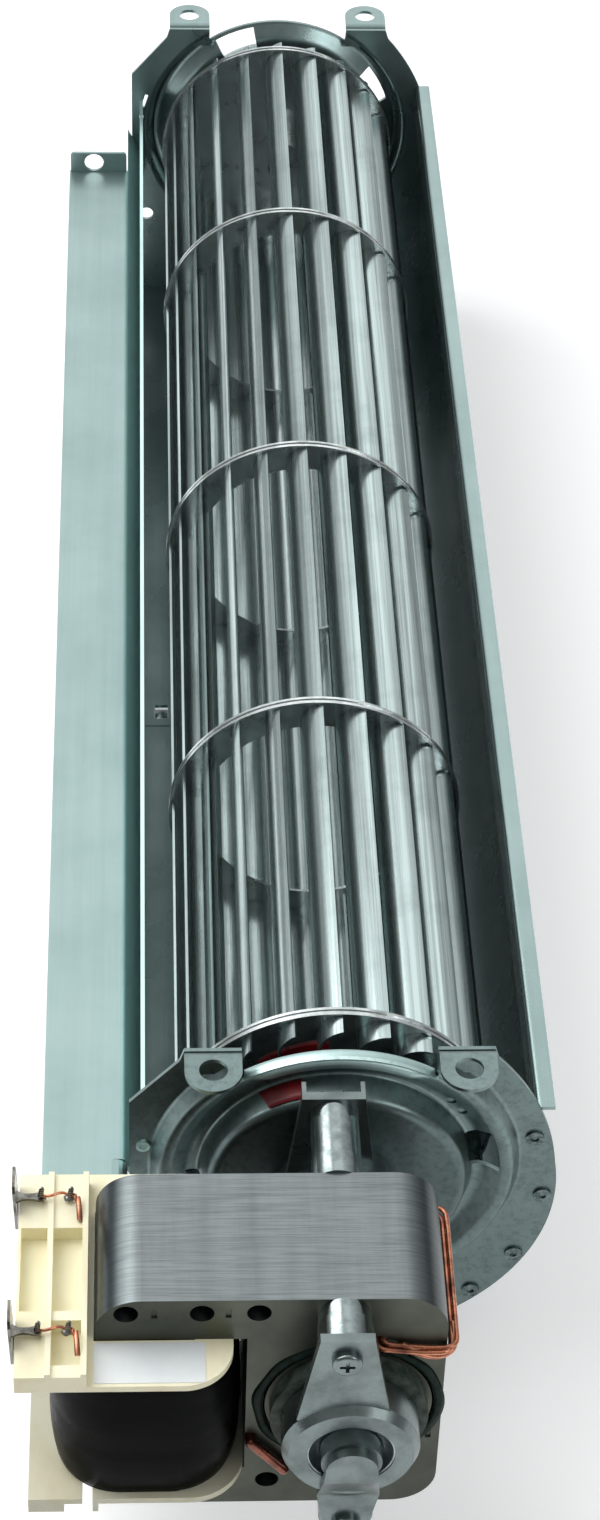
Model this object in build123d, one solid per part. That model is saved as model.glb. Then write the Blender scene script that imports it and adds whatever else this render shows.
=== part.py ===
from build123d import *
from math import cos, sin, radians, degrees, asin, hypot
import os

os.makedirs("parts", exist_ok=True)

# Cross flow fan. Millimetres. X to the right and Z up, seen from the motor.
# Y runs along the fan axis, away from the motor. Everything is drawn from the
# fan axis and the outer face of the end plate at the motor end, and saved with
# the origin in the middle of the four mounting holes.

# --- housing sheets
body_length = 366.0          # outer face to outer face of the two end plates
sheet = 0.8                  # steel sheet of every pressed piece
bend = 1.2                   # inside radius of the folds
scroll_centre = (-2.0, -7.5)
scroll_radius = 41.2         # inner face of the round scroll wall
scroll_top = 6.3             # height where the round wall turns straight up
lip_height = 14.3
lip_width = 3.6
outlet_end = -38.0           # X of the outlet edge of the floor sheet
floor_slot = (3.1, 4.7)
floor_slot_x = -31.3
floor_slot_place = 0.506     # share of the body length
crease = 0.5                 # cross groove in the floor
crease_depth = 0.15
crease_gap = 5.2             # from the floor slot's middle

# --- end plates
plate_margin = 2.0           # plate beyond the outside of the scroll
plate_left = -38.2
plate_shoulder = 17.2        # height where the left edge starts to slope in
plate_side = (37.3, 15.2)    # the right edge passes here
plate_chamfer = (0.8, 2.6)   # small slope beside each ear
ear_height = 31.5            # top face of the mounting ears
ear_spacing = 46.0
ear_width = 10.4
ear_reach = 10.6             # from the plate's outer face to the ear's round end
ear_hole = 2.6
ear_hole_reach = 5.4
bead_radius = 32.0
bead_height = 3.0
bead_top = 0.9               # half of the bead's flat top
bead_half_width = 2.6
bead_inner_slope = 3.7       # the bead's long inner slope
bead_radii = (0.9, 1.2, 2.5, 2.5)
valley_depth = 0.5
dome_radius = 23.8
dome_height = 6.0
dome_slope = 1.7
dome_radii = (0.9, 2.0)      # round corners at the dome's foot and shoulder
shaft_opening = 8.0
window_inner = 25.0
window_outer = 30.7
window_span = 20.0
near_windows = (10.8, 191.0, 293.0)
far_windows = (27.3, 111.9, 207.0, 293.0)
plate_hole = 1.8
plate_hole_place = (-34.4, -25.5)
slit = (0.9, 3.9)
slit_place = (-34.8, 9.3)
slit_lean = -17.0
dimple_radius = 0.9
dimple_depth = 0.3
dimple_ring = 27.4
dimple_angles = (40.5, 33.0)
scroll_tab_angles = (20.2, -2.2, -26.4, -44.6)
tab_width = 3.2
tab_clearance = 0.1
stake_radius = 1.75          # staked head of each locking tab
stake_height = 0.5
stake_dimple = 0.7
stake_dimple_depth = 0.3
tongue_stake_radius = 1.3

# --- tongue and outlet flange
tongue_face = -35.3          # inner face of the upright tongue wall
tongue_top = 9.5
tongue_foot = -14.0
tongue_end = (-38.8, -22.0)
tongue_tab_height = 5.6
flange_height = 1.0
flange_left = -54.4
flange_right = -39.3
flange_drop = 7.0            # the fold from the flange down to the tongue
flange_foot = -13.0
flange_stop = 21.7           # flange end to the far plate's outer face
end_tab_rise = 6.4
end_tab_hole = 2.5
end_tab_side = 0.3
end_tab_corner = 1.0

# --- impeller
impeller_radius = 30.25
near_disc_gap = 10.0         # near plate's outer face to the driven disc
far_disc_gap = 8.8           # far plate's outer face to the far disc
ring_shares = (0.2526, 0.5032, 0.7771)
disc = 0.8
ring = 0.6
rim_width = 1.9              # rim rolled over the blades' outer edges
rim_groove = 0.22
rim_groove_width = 0.7
ring_inner = 23.4
blade_count = 21
blade_outer = 29.75
blade_inner = 24.3
blade_lean = 10.5            # degrees that the outer edge runs ahead
blade_bow = 1.3
blade = 0.5
blade_turn = -4.0            # degrees of the first blade from the X axis
blade_over_near = 4.6        # blades beyond the driven disc
blade_over_far = 3.4
slot_gap = 0.04
hub_radius = 7.5
hub_length = 9.0
hub_nose = 3.0
hub_flange = 5.0
hub_flange_thickness = 1.6
axle_radius = 2.5
set_screw_radius = 2.0
set_screw_inset = 3.4
socket_radius = 1.1
mark_outer = 22.6
mark_inner = 13.5
mark_angle = 116.0
mark_size = 13.0
mark_thickness = 0.5

# --- far bearing
grommet_groove = 7.0
grommet_radius = 9.2
grommet_inside = 2.4
grommet_outside = 2.2
far_bearing_radius = 4.6
far_bearing_half = 4.0
clip_radius = 8.2
clip = 0.6
clip_gap = 0.9
axle_over = 4.4              # stub axle beyond the far dome

# --- motor
stack_front = -55.3
stack_depth = 28.3
stack_left = -44.0
stack_right = 16.4
stack_half = 28.2
stack_corner = 8.0
yoke = 10.2
limb_width = 17.0
bore_radius = 15.0
bore_wall = 2.9              # iron between the bore and the window
air_gap = 0.4
shaft_radius = 3.0
running_gap = 0.03
stack_hole = 2.1
upper_hole_inset = 3.4       # hole row below the stack's top
lower_hole_inset = 6.5
upper_columns = (-38.6, -25.7, -16.0)
lower_columns = (-38.6, -25.7, -13.8)
lock_mark = (1.0, 2.4)       # pressed marks that lock the sheets together
lock_mark_depth = 0.4
upper_lock_columns = (-33.8, -21.2)
side_lock_inset = (2.0, 8.9)
upper_stud_column = -1.5
lower_stud_column = -0.1
upper_stud_inset = 4.2
lower_stud_inset = 6.6
stud_radius = 1.9
stud_gap = 0.1
stud_over = 2.4
head_radius = 2.6
head_height = 1.5
head_round = 0.7
head_recess = 0.8
nut_radius = 3.6
nut_height = 2.2
spacer_radius = 4.6
spacer_collar = 0.25
spacer_collar_length = 5.0
bracket = 1.8
bracket_over = 0.8           # upper legs beyond the stack
front_gap = 7.9              # stack to front bracket
rear_gap = 16.6              # stack to rear bracket
leg_wide = 16.2
front_leg_tip = 9.2
rear_leg_tip = 11.4
leg_start = 8.0
cup_radius = 12.0
cup_depth = 6.2
cup_face = 1.5               # cup's face ahead of the legs
cup_shoulder = 1.1
recess_radius = 7.6
recess_floor = 2.2           # recess floor behind the legs' front face
nose_radius = 5.3
tongue_radius = 4.5
tongue_ahead = 5.0           # strap's round end ahead of the legs
strap_bend = 3.0             # height below the axis where the strap turns back
strap_wide = 5.5             # half widths of the strap
strap_low = 13.4
strap_tip = 4.0
shaft_ahead = 2.2
front_bearing_radius = 4.2
front_bearing_length = 7.6
bearing_radius = 6.0
bearing_length = 5.4
bearing_seat = 1.0
rail_depth = 2.6
rail_length = 9.0
end_ring_radius = 13.8
end_ring_bore = 8.4
end_ring = 3.2
collar_radius = 5.2
end_play = 0.1
shade_radius = 1.0
shade_gap = 0.12
shade_reach = 1.3            # wire centre outside the stack's faces
upper_shade = (4.6, 11.0)      # hole's X, and its inset from the stack's top
upper_shade_drop = 0.8       # the leg outside the stack lies lower
lower_shade = (-11.0, 11.2)  # hole's X, and its inset from the stack's bottom
notch_shift = (-5.9, 7.8)    # from the lower hole to its notch

# --- coil and bobbin
coil_wall = 8.3              # taped winding outside the limb, each side
coil_front_wall = 7.4
coil_corner = 12.5
bobbin_wall = 1.0
bobbin_gap = 0.15
flange_plate = 1.4
flange_inset = 1.6           # bobbin's upper plate inside the winding's right edge
flange_corner = 8.5
flange_front = 9.9           # bobbin plates beyond the stack's front face
flange_back = 9.0
low_plate_out = 1.0          # lower plate beyond the winding's right edge
low_plate_front = 7.5
low_plate_corner = 9.5
foot_drop = 3.6
foot_width = 6.3
ledge_width = 3.2
foot_notch = 1.8
foot_notch_depth = 10.0
foot_out = 12.0              # foot's left edge outside the stack
foot_rib = (1.0, 5.0)
block_width = 12.2
block_out = 13.4             # block's left edge outside the stack
block_back_inset = 2.2       # block's back edge before the bobbin plate's
block_height = 4.0
block_rib = 0.8
rib_width = 1.0
pocket_depth = 3.2
block_pocket_gap = 12.3      # from the block's back edge to its long pockets
block_pocket_front = 14.2    # from the block's front edge to its long pockets
block_bar = 2.0              # bar between the long and the short pocket
block_end_wall = 2.6
spade_insets = (35.8, 5.8)   # spade centres behind the block's front edge
spade_width = 6.3
spade_height = 8.2
spade = 0.8
spade_out = 1.2
spade_reach = 4.4            # foot inside the block's left edge
spade_foot = 2.2
spade_eye = 1.0
label_size = (19.0, 8.6)
label_inset = 9.4            # label's middle from the stack's left edge
label_corner = 0.5
label_thickness = 0.12

far_face = body_length
flange_length = far_face - flange_stop
impeller_end = far_face - far_disc_gap
impeller_length = impeller_end - near_disc_gap
blade_pitch = 360 / blade_count
stack_back = stack_front + stack_depth
stack_middle = stack_front + stack_depth / 2
window_right = -(bore_radius + bore_wall)
window_half = stack_half - yoke
coil_half = window_half - flange_plate
coil_centre = stack_left + limb_width / 2
coil_right = coil_centre + limb_width / 2 + coil_wall
upper_shade_hole = (upper_shade[0], stack_half - upper_shade[1])
lower_shade_hole = (lower_shade[0], lower_shade[1] - stack_half)
lower_shade_notch = (lower_shade_hole[0] + notch_shift[0], lower_shade_hole[1] + notch_shift[1])
front_outer = stack_front - front_gap - bracket
rear_inner = stack_back + rear_gap
rear_outer = rear_inner + bracket
block_left = stack_left - block_out
block_right = block_left + block_width
block_front = stack_front - flange_front
block_back = stack_back + flange_back - block_back_inset
block_top = coil_half + block_height
home = Pos(0, -far_face / 2, -ear_height)


def save(shape, name):
    placed = home * shape
    placed.label = name
    export_step(placed, f"parts/{name}.step")


def along_y(face, start, end):
    """Extrude a face drawn in X and Z from Y = start to Y = end."""
    return extrude(Plane.XZ.offset(-end) * face, end - start)


def strip(path, thickness, side):
    """A strip of sheet on one side of an open path."""
    return make_face(path.wire().offset_2d(thickness, side=side, closed=True).edges())


def polygon(*points):
    return make_face(Polyline(*points, close=True).edges())


def ring_turned(inner, outer, start, end):
    """A tube on the fan axis."""
    return along_y(Circle(outer) - Circle(inner), start, end)


def rod(radius, start, end, x=0.0, z=0.0):
    return along_y(Pos(x, z) * Circle(radius), start, end)


def polar(radius, angle):
    return radius * cos(radians(angle)), radius * sin(radians(angle))


def group(solids):
    return Compound(list(solids))


# ---------------------------------------------------------------- housing

def scroll_point(angle, radius=scroll_radius):
    x, z = polar(radius, angle)
    return scroll_centre[0] + x, scroll_centre[1] + z


def scroll_wall_top():
    angle = degrees(asin((scroll_top - scroll_centre[1]) / scroll_radius))
    return angle, scroll_point(angle)


def scroll_tab_places():
    middle = scroll_radius + sheet / 2
    return [(*scroll_point(angle, middle), angle) for angle in scroll_tab_angles]


def tongue_tab_places():
    return [(tongue_face - sheet / 2, tongue_tab_height, 0.0)]


def staked_tabs(places, radius):
    """Locking tabs at both ends: through the plate's slot, then staked round."""
    tabs = []
    for x, z, angle in places:
        shank = Pos(x, z) * Rot(0, 0, angle) * Rectangle(sheet, tab_width)
        disc_face = Pos(x, z) * Circle(radius)
        pit = Pos(x, z) * Circle(stake_dimple)
        for outer, way in ((0, -1), (far_face, 1)):
            top = outer + way * stake_height
            pit_floor = top - way * stake_dimple_depth
            tabs.append(along_y(shank, min(outer, outer - way * sheet), max(outer, outer - way * sheet)))
            head = along_y(disc_face, min(outer, top), max(outer, top))
            tabs.append(head - along_y(pit, min(pit_floor, top), max(pit_floor, top)))
    return tabs


def make_scroll():
    top_angle, (wall_x, wall_z) = scroll_wall_top()
    bottom = scroll_point(-90)
    lip = FilletPolyline(
        (wall_x + lip_width, lip_height), (wall_x, lip_height), (wall_x, wall_z), radius=bend
    )
    wall = CenterArc(scroll_centre, scroll_radius, top_angle, -90 - top_angle)
    floor = Line(bottom, (outlet_end, bottom[1]))
    path = Wire([*lip.edges(), *wall.edges(), *floor.edges()])
    sheet_face = make_face(path.offset_2d(sheet, side=Side.LEFT, closed=True).edges())
    body = along_y(sheet_face, sheet, far_face - sheet)
    slot_y = floor_slot_place * far_face
    body -= Pos(floor_slot_x, slot_y, bottom[1]) * Box(*floor_slot, 4 * sheet)
    flat = bottom[0] - outlet_end
    groove = Box(flat, crease, 2 * crease_depth)
    body -= Pos(outlet_end + flat / 2, slot_y - crease_gap, bottom[1]) * groove
    return body + staked_tabs(scroll_tab_places(), stake_radius)


def make_tongue():
    path = FilletPolyline(
        (tongue_face, tongue_top), (tongue_face, tongue_foot), tongue_end, radius=bend
    )
    body = along_y(strip(path, sheet, Side.RIGHT), sheet, far_face - sheet)
    return body + staked_tabs(tongue_tab_places(), tongue_stake_radius)


def make_outlet_flange():
    leg = tongue_face - sheet
    path = FilletPolyline(
        (flange_left, flange_height),
        (flange_right, flange_height),
        (leg, flange_height - flange_drop),
        (leg, flange_foot),
        radius=bend,
    )
    body = along_y(strip(path, sheet, Side.RIGHT), sheet, far_face - sheet)
    # the flange itself stops short of the far plate and ends in a raised tab
    width = flange_right - flange_left
    middle = (flange_left + flange_right) / 2
    waste = Pos(middle - bend, far_face - flange_stop / 2, flange_height)
    body -= waste * Box(width + 2 * bend, flange_stop, flange_drop)
    tab_width_x = width - 2 * end_tab_side
    base = flange_height - sheet
    outline = Pos(middle, base + end_tab_rise / 2) * RectangleRounded(
        tab_width_x, end_tab_rise, end_tab_corner
    )
    outline += Pos(middle, base + end_tab_rise / 4) * Rectangle(tab_width_x, end_tab_rise / 2)
    outline -= Pos(middle - bend, base + (end_tab_rise + sheet) / 2) * Circle(end_tab_hole)
    return body + along_y(outline, flange_length - sheet, flange_length)


def plate_outline():
    """The end plate seen along Y, without its ears."""
    radius = scroll_radius + sheet + plate_margin
    cx, cz = scroll_centre
    bottom = (cx, cz - radius)
    side_x, side_z = polar(radius, 10)
    ear_out = ear_spacing / 2 + ear_width / 2
    ear_in = ear_spacing / 2 - ear_width / 2
    top = ear_height - sheet
    slope, drop = plate_chamfer
    rim = ear_height
    rim_z = (rim**2 - ear_in**2) ** 0.5
    side = (cx + side_x, cz + side_z)
    lines = [
        Line((plate_left, bottom[1]), bottom),
        RadiusArc(bottom, side, -radius),
        ThreePointArc(side, plate_side, (ear_out + slope, top - drop)),
        Line((ear_out + slope, top - drop), (ear_out, top)),
        Line((ear_out, top), (ear_in, top)),
        Line((ear_in, top), (ear_in, rim_z)),
        RadiusArc((ear_in, rim_z), (-ear_in, rim_z), -rim),
        Line((-ear_in, rim_z), (-ear_in, top)),
        Line((-ear_in, top), (-ear_out, top)),
        Line((-ear_out, top), (-ear_out - slope, top - drop)),
        Line((-ear_out - slope, top - drop), (plate_left, plate_shoulder)),
        Line((plate_left, plate_shoulder), (plate_left, bottom[1])),
    ]
    return make_face(lines)


def pressed_disc(hole):
    """Sheet turned about Y: flat rim, raised bead, valley and raised dome."""
    path = FilletPolyline(
        (2 * bead_radius, 0),
        (bead_radius + bead_half_width, 0),
        (bead_radius + bead_top, -bead_height),
        (bead_radius - bead_top, -bead_height),
        (bead_radius - bead_top - bead_inner_slope, -valley_depth),
        (dome_radius + dome_slope, -valley_depth),
        (dome_radius, -dome_height),
        (hole, -dome_height),
        radius=bead_radii + dome_radii,
    )
    return revolve(strip(path, sheet, Side.RIGHT), Axis.Y)


def window(angle):
    half = window_span / 2
    far = 2 * window_outer
    wedge = polygon((0, 0), polar(far, angle - half), polar(far, angle + half))
    return (Circle(window_outer) - Circle(window_inner)) & wedge


def ear(centre):
    """One ear, folded outward at the plate's top edge."""
    fold = bend + sheet
    path = FilletPolyline(
        (0, ear_height - 3 * fold), (0, ear_height), (-ear_reach, ear_height), radius=fold
    )
    profile = strip(path, sheet, Side.LEFT)
    bar = extrude(Plane.YZ.offset(centre - ear_width / 2) * profile, ear_width)
    reach = ear_reach - ear_width / 2
    plan = Pos(centre, -reach) * Circle(ear_width / 2)
    plan += Pos(centre, -reach / 2 + sheet) * Rectangle(ear_width, reach + 2 * sheet)
    plan -= Pos(centre, -ear_hole_reach) * Circle(ear_hole)
    return bar & Pos(0, 0, ear_height - 4 * fold) * extrude(plan, 8 * fold)


def end_plate(windows, hole, tabs):
    plate = pressed_disc(hole) & along_y(plate_outline(), -dome_height - sheet, dome_height)
    slot = Rectangle(sheet + 2 * tab_clearance, tab_width + 2 * tab_clearance)
    cuts = [window(angle) for angle in windows]
    cuts += [Pos(x, z) * Rot(0, 0, angle) * slot for x, z, angle in tabs]
    for cut in cuts:
        plate -= along_y(cut, -dome_height, dome_height)
    for side in (-1, 1):
        plate += ear(side * ear_spacing / 2)
    return plate


def make_end_plates():
    tabs = scroll_tab_places() + tongue_tab_places()
    near = end_plate(near_windows, shaft_opening, tabs)
    for angle in dimple_angles:
        x, z = polar(dimple_ring, angle)
        near -= rod(dimple_radius, -bead_height, dimple_depth - valley_depth, x, z)
    far = end_plate(far_windows, grommet_groove, tabs)
    far -= along_y(Pos(*plate_hole_place) * Circle(plate_hole), -sheet, 2 * sheet)
    gap = Pos(*slit_place) * Rot(0, 0, slit_lean) * Rectangle(*slit)
    far -= along_y(gap, -sheet, 2 * sheet)
    far = Pos(0, far_face, 0) * mirror(far, Plane.XZ)
    return near, far


# ---------------------------------------------------------------- far bearing

def make_far_bearing():
    inner_y = far_face + dome_height - sheet
    outer_y = inner_y + sheet
    tip_y = outer_y + grommet_outside
    profile = polygon(
        (far_bearing_radius, inner_y - grommet_inside),
        (grommet_radius, inner_y - grommet_inside),
        (grommet_radius, inner_y),
        (grommet_groove, inner_y),
        (grommet_groove, outer_y),
        (grommet_radius, outer_y),
        (grommet_radius - sheet, tip_y),
        (far_bearing_radius, tip_y),
    )
    grommet = revolve(profile, Axis.Y)
    start = inner_y + sheet / 2 - far_bearing_half
    bearing = ring_turned(axle_radius + running_gap, far_bearing_radius, start, tip_y)
    washer = ring_turned(axle_radius + clip_gap, clip_radius, tip_y, tip_y + clip)
    return grommet, bearing, washer


# ---------------------------------------------------------------- impeller

def blade_path():
    inner = (blade_inner, 0.0)
    outer = polar(blade_outer, -blade_lean)
    run = (outer[0] - inner[0], outer[1] - inner[1])
    length = hypot(*run)
    middle = ((inner[0] + outer[0]) / 2, (inner[1] + outer[1]) / 2)
    bow = (-run[1] / length * blade_bow, run[0] / length * blade_bow)
    return ThreePointArc(inner, (middle[0] + bow[0], middle[1] + bow[1]), outer)


def blade_section(extra=0.0):
    """The bowed cross-section of one blade, grown by a gap for its slots."""
    face = make_face(Wire(blade_path().edges()).offset_2d(blade, side=Side.RIGHT).edges())
    if extra:
        face = offset(face, amount=extra)
    return face


def blade_turns():
    return [blade_turn + blade_pitch * index for index in range(blade_count)]


def make_blades():
    start = near_disc_gap - blade_over_near
    one = along_y(blade_section(), start, impeller_end + blade_over_far)
    return group([Rot(0, -angle, 0) * one for angle in blade_turns()])


def slotted_disc(inner, start, thickness):
    """A slotted disc or ring with its rim rolled over the blades' edges."""
    slot = blade_section(slot_gap)
    reach = max(hypot(corner.X, corner.Y) for corner in slot.vertices())
    web = Circle((reach + impeller_radius) / 2)
    if inner:
        web -= Circle(inner)
    web -= [Rot(0, 0, angle) * slot for angle in blade_turns()]
    middle = start + thickness / 2
    half = rim_width / 2
    rim = ring_turned(reach, impeller_radius, middle - half, middle + half)
    groove = ring_turned(
        impeller_radius - rim_groove,
        2 * impeller_radius,
        middle - rim_groove_width / 2,
        middle + rim_groove_width / 2,
    )
    return along_y(web, start, start + thickness) + (rim - groove)


def make_rings():
    places = [near_disc_gap + share * impeller_length for share in ring_shares]
    return group([slotted_disc(ring_inner, place - ring / 2, ring) for place in places])


def make_hubs():
    """Turned hubs: one clamps the motor shaft, the other holds the stub axle."""
    near_end = near_disc_gap + disc
    hub_end = near_end + hub_length
    near = ring_turned(shaft_radius, hub_radius, near_disc_gap - hub_nose, hub_end)
    near += ring_turned(
        shaft_radius, hub_radius + hub_flange, near_end, near_end + hub_flange_thickness
    )
    screw_y = hub_end - set_screw_inset
    near -= Pos(0, screw_y, hub_radius) * Cylinder(set_screw_radius, 2 * hub_radius)
    screw_length = hub_radius - shaft_radius - 2 * clip
    screw = Pos(0, screw_y, shaft_radius + clip / 2 + screw_length / 2) * Cylinder(
        set_screw_radius, screw_length
    )
    socket = extrude(RegularPolygon(socket_radius, 6), hub_radius)
    screw -= Pos(0, screw_y, hub_radius - 2 * socket_radius) * socket
    far_disc = impeller_end - disc
    far = ring_turned(axle_radius, hub_radius, far_disc - hub_length, far_disc)
    return near, screw, far


def make_stub_axle():
    start = impeller_end - disc - hub_length
    tip = far_face + dome_height + axle_over
    return chamfer(rod(axle_radius, start, tip).edges(), axle_radius / 6)


def make_end_discs():
    near = slotted_disc(hub_radius, near_disc_gap, disc)
    far = slotted_disc(axle_radius, impeller_end - disc, disc)
    return near, far


def make_balance_mark():
    """A painted patch of balance putty on the outer face of the driven disc."""
    middle = (mark_inner + mark_outer) / 2
    patch = Pos(*polar(middle, mark_angle)) * Rectangle(mark_size, mark_size)
    patch &= Circle(mark_outer) - Circle(mark_inner)
    return along_y(patch, near_disc_gap - mark_thickness, near_disc_gap)


# ---------------------------------------------------------------- motor

def stack_outline():
    width = stack_right - stack_left
    middle = (stack_right + stack_left) / 2
    return Pos(middle, 0) * RectangleRounded(width, 2 * stack_half, stack_corner)


def upper_row():
    return stack_half - upper_hole_inset


def stack_holes():
    places = [(x, upper_row()) for x in upper_columns]
    places += [(x, lower_hole_inset - stack_half) for x in lower_columns]
    return [Pos(x, z) * Circle(stack_hole) for x, z in places]


def stud_places():
    upper = (upper_stud_column, stack_half - upper_stud_inset)
    lower = (lower_stud_column, lower_stud_inset - stack_half)
    return [upper, lower]


def stud_holes():
    return [Pos(x, z) * Circle(stud_radius + stud_gap) for x, z in stud_places()]


def lock_marks():
    """Shallow pressed marks that lock the stack's sheets together."""
    inset, low = side_lock_inset
    places = [(x, upper_row()) for x in upper_lock_columns]
    places.append((stack_right - inset, -low))
    mark = Rectangle(*lock_mark)
    return [
        along_y(Pos(x, z) * mark, stack_front - sheet, stack_front + lock_mark_depth)
        for x, z in places
    ]


def make_stack():
    face = stack_outline()
    window_left = stack_left - sheet
    middle = (window_left + window_right) / 2
    face -= Pos(middle, 0) * Rectangle(window_right - window_left, 2 * window_half)
    face -= Circle(bore_radius)
    face -= stack_holes()
    face -= stud_holes()
    hole = Circle(shade_radius + shade_gap)
    notch_x, notch_z = lower_shade_notch
    face -= Pos(*upper_shade_hole) * hole
    face -= Pos(*lower_shade_hole) * hole
    face -= Pos(notch_x, notch_z) * hole
    slot = Rectangle(notch_x - window_right + sheet, 2 * (shade_radius + shade_gap))
    face -= Pos((window_right + notch_x - sheet) / 2, notch_z) * slot
    stack = along_y(face, stack_front, stack_back)
    for mark in lock_marks():
        stack -= mark
    return stack


def make_core():
    face = Pos(coil_centre, 0) * Rectangle(limb_width, 2 * window_half)
    return along_y(face, stack_front, stack_back)


def shading_ring(hole, side):
    """A closed copper loop: one leg in the stack's hole, one outside it."""
    front = stack_front - shade_reach
    back = stack_back + shade_reach
    (x0, z0), (x1, z1) = hole, side
    corners = [(x0, front, z0), (x1, front, z1), (x1, back, z1), (x0, back, z0)]
    body = None
    for index, start in enumerate(corners):
        line = Line(start, corners[(index + 1) % 4])
        leg = sweep(Plane(origin=start, z_dir=line % 0) * Circle(shade_radius), line)
        leg += Pos(*start) * Sphere(shade_radius)
        body = leg if body is None else body + leg
    return body


def leg_face(stud, tip_width):
    """A tapered leg from the cup out past one stud."""
    x, z = stud
    sign = 1 if z > 0 else -1
    tip = sign * (stack_half + bracket_over) if z > 0 else z - strap_tip
    return polygon(
        (x - leg_wide / 2, sign * leg_start),
        (x + leg_wide / 2, sign * leg_start),
        (x + tip_width / 2, tip),
        (x - tip_width / 2, tip),
    )


def bearing_cup():
    """Turned cup with a sunk ring round its closed nose, open to the rotor."""
    face_y = front_outer - cup_face
    floor_y = front_outer + recess_floor
    nose_y = front_outer - tongue_ahead + bracket
    back_y = front_outer + cup_depth
    profile = polygon(
        (cup_radius, back_y),
        (cup_radius, front_outer + sheet / 4),
        (cup_radius - cup_shoulder, face_y),
        (recess_radius, face_y),
        (recess_radius - cup_shoulder, floor_y),
        (nose_radius, floor_y),
        (nose_radius, nose_y),
        (front_bearing_radius, nose_y),
        (front_bearing_radius, back_y),
    )
    cup = revolve(profile, Axis.Y)
    wall = nose_radius - front_bearing_radius
    return cup - ring_turned(
        nose_radius + wall / 2, cup_radius - wall, floor_y + wall, back_y + wall
    )


def strap():
    """Strap from the nose's round end back and down to the lower stud."""
    ahead = front_outer - tongue_ahead
    x, z = stud_places()[1]
    path = FilletPolyline(
        (ahead, tongue_radius),
        (ahead, -strap_bend),
        (front_outer, -strap_low),
        (front_outer, z - strap_tip),
        radius=strap_bend,
    )
    side_face = strip(path, bracket, Side.LEFT)
    bar = extrude(Plane.YZ.offset(-cup_radius) * side_face, 2 * cup_radius)
    plan = Circle(tongue_radius) + Pos(x, z) * Circle(strap_tip)
    plan += polygon(
        (tongue_radius, 0),
        (strap_wide, -strap_low),
        (x + strap_tip, z),
        (x - strap_tip, z),
        (-strap_wide, -strap_low),
        (-tongue_radius, 0),
    )
    return bar & along_y(plan, ahead - bracket, stack_front)


def make_front_bracket():
    upper, lower = stud_places()
    face = leg_face(upper, front_leg_tip) + (Circle(cup_radius - cup_shoulder / 2))
    face -= Circle(recess_radius + cup_shoulder)
    body = along_y(face, front_outer, front_outer + bracket) + bearing_cup() + strap()
    for x, z in (upper, lower):
        body -= rod(stud_radius + stud_gap, front_outer - bracket, stack_front, x, z)
    return body


def make_rear_bracket():
    face = Circle(cup_radius - cup_shoulder / 2)
    for stud in stud_places():
        face += leg_face(stud, rear_leg_tip)
    face -= Circle(recess_radius + cup_shoulder)
    face -= stud_holes()
    web = along_y(face, rear_inner, rear_outer)
    for x, z in stud_places():
        tip = stack_half + bracket_over if z > 0 else z - strap_tip
        rail_z = tip - rail_length / 2 if z > 0 else tip + rail_length / 2
        for side in (-1, 1):
            rail_x = x + side * (rear_leg_tip - sheet) / 2
            rail_y = rear_outer - tab_clearance + rail_depth / 2
            web += Pos(rail_x, rail_y, rail_z) * Box(sheet, rail_depth, rail_length)
    pad = ring_turned(bearing_radius, cup_radius, rear_inner - bracket, -dome_height)
    shoulder = ring_turned(
        shaft_radius + clip, bearing_radius, -dome_height - bearing_seat, -dome_height
    )
    return web + pad + shoulder


def bearing_ends():
    front_end = front_outer + cup_depth + end_play
    rear_start = -dome_height - bearing_seat - bearing_length
    return front_end, rear_start


def make_bearings():
    front_end, rear_start = bearing_ends()
    bore = shaft_radius + running_gap
    front = ring_turned(bore, front_bearing_radius, front_end - front_bearing_length, front_end)
    rear = ring_turned(bore, bearing_radius, rear_start, rear_start + bearing_length)
    return front, rear


def make_rotor():
    core = ring_turned(shaft_radius, bore_radius - air_gap, stack_front, stack_back)
    front_ring = ring_turned(end_ring_bore, end_ring_radius, stack_front - end_ring, stack_front)
    back_ring = ring_turned(end_ring_bore, end_ring_radius, stack_back, stack_back + end_ring)
    return core, group([front_ring, back_ring])


def make_shaft():
    end = near_disc_gap + disc + hub_length
    shaft = rod(shaft_radius, front_outer - shaft_ahead, end)
    return chamfer(shaft.edges(), shaft_radius / 8)


def make_collars():
    """Thrust collars between the rotor and the two bearings."""
    front_end, rear_start = bearing_ends()
    front = ring_turned(shaft_radius, collar_radius, front_end + end_play, stack_front)
    rear = ring_turned(shaft_radius, collar_radius, stack_back, rear_start - end_play)
    return group([front, rear])


def spacer(place, start, end):
    tube = Circle(spacer_radius) - Circle(stud_radius + stud_gap)
    band = Circle(spacer_radius + spacer_collar) - Circle(stud_radius + stud_gap)
    spot = Pos(*place)
    return along_y(spot * tube, start, end) + along_y(
        spot * band, start, start + spacer_collar_length
    )


def make_spacers():
    front = [spacer(place, stack_front - front_gap, stack_front) for place in stud_places()]
    rear = [spacer(place, stack_back, rear_inner) for place in stud_places()]
    return group(front), group(rear)


def make_studs():
    """Through studs with a round slotless head in front."""
    studs = []
    for x, z in stud_places():
        stud = rod(stud_radius, front_outer, rear_outer + stud_over, x, z)
        head = rod(head_radius, front_outer - head_height, front_outer, x, z)
        front_edges = head.faces().sort_by(Axis.Y)[0].edges()
        head = fillet(front_edges, head_round)
        recess = Pos(x, z) * (
            Rectangle(head_radius, head_radius / 4) + Rectangle(head_radius / 4, head_radius)
        )
        front = front_outer - head_height
        studs.append(stud + head - along_y(recess, front, front + head_recess))
    return group(studs)


def make_stud_nuts():
    nut = RegularPolygon(nut_radius, 6) - Circle(stud_radius)
    return group(
        [
            along_y(Pos(*place) * nut, rear_outer, rear_outer + nut_height)
            for place in stud_places()
        ]
    )


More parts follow.
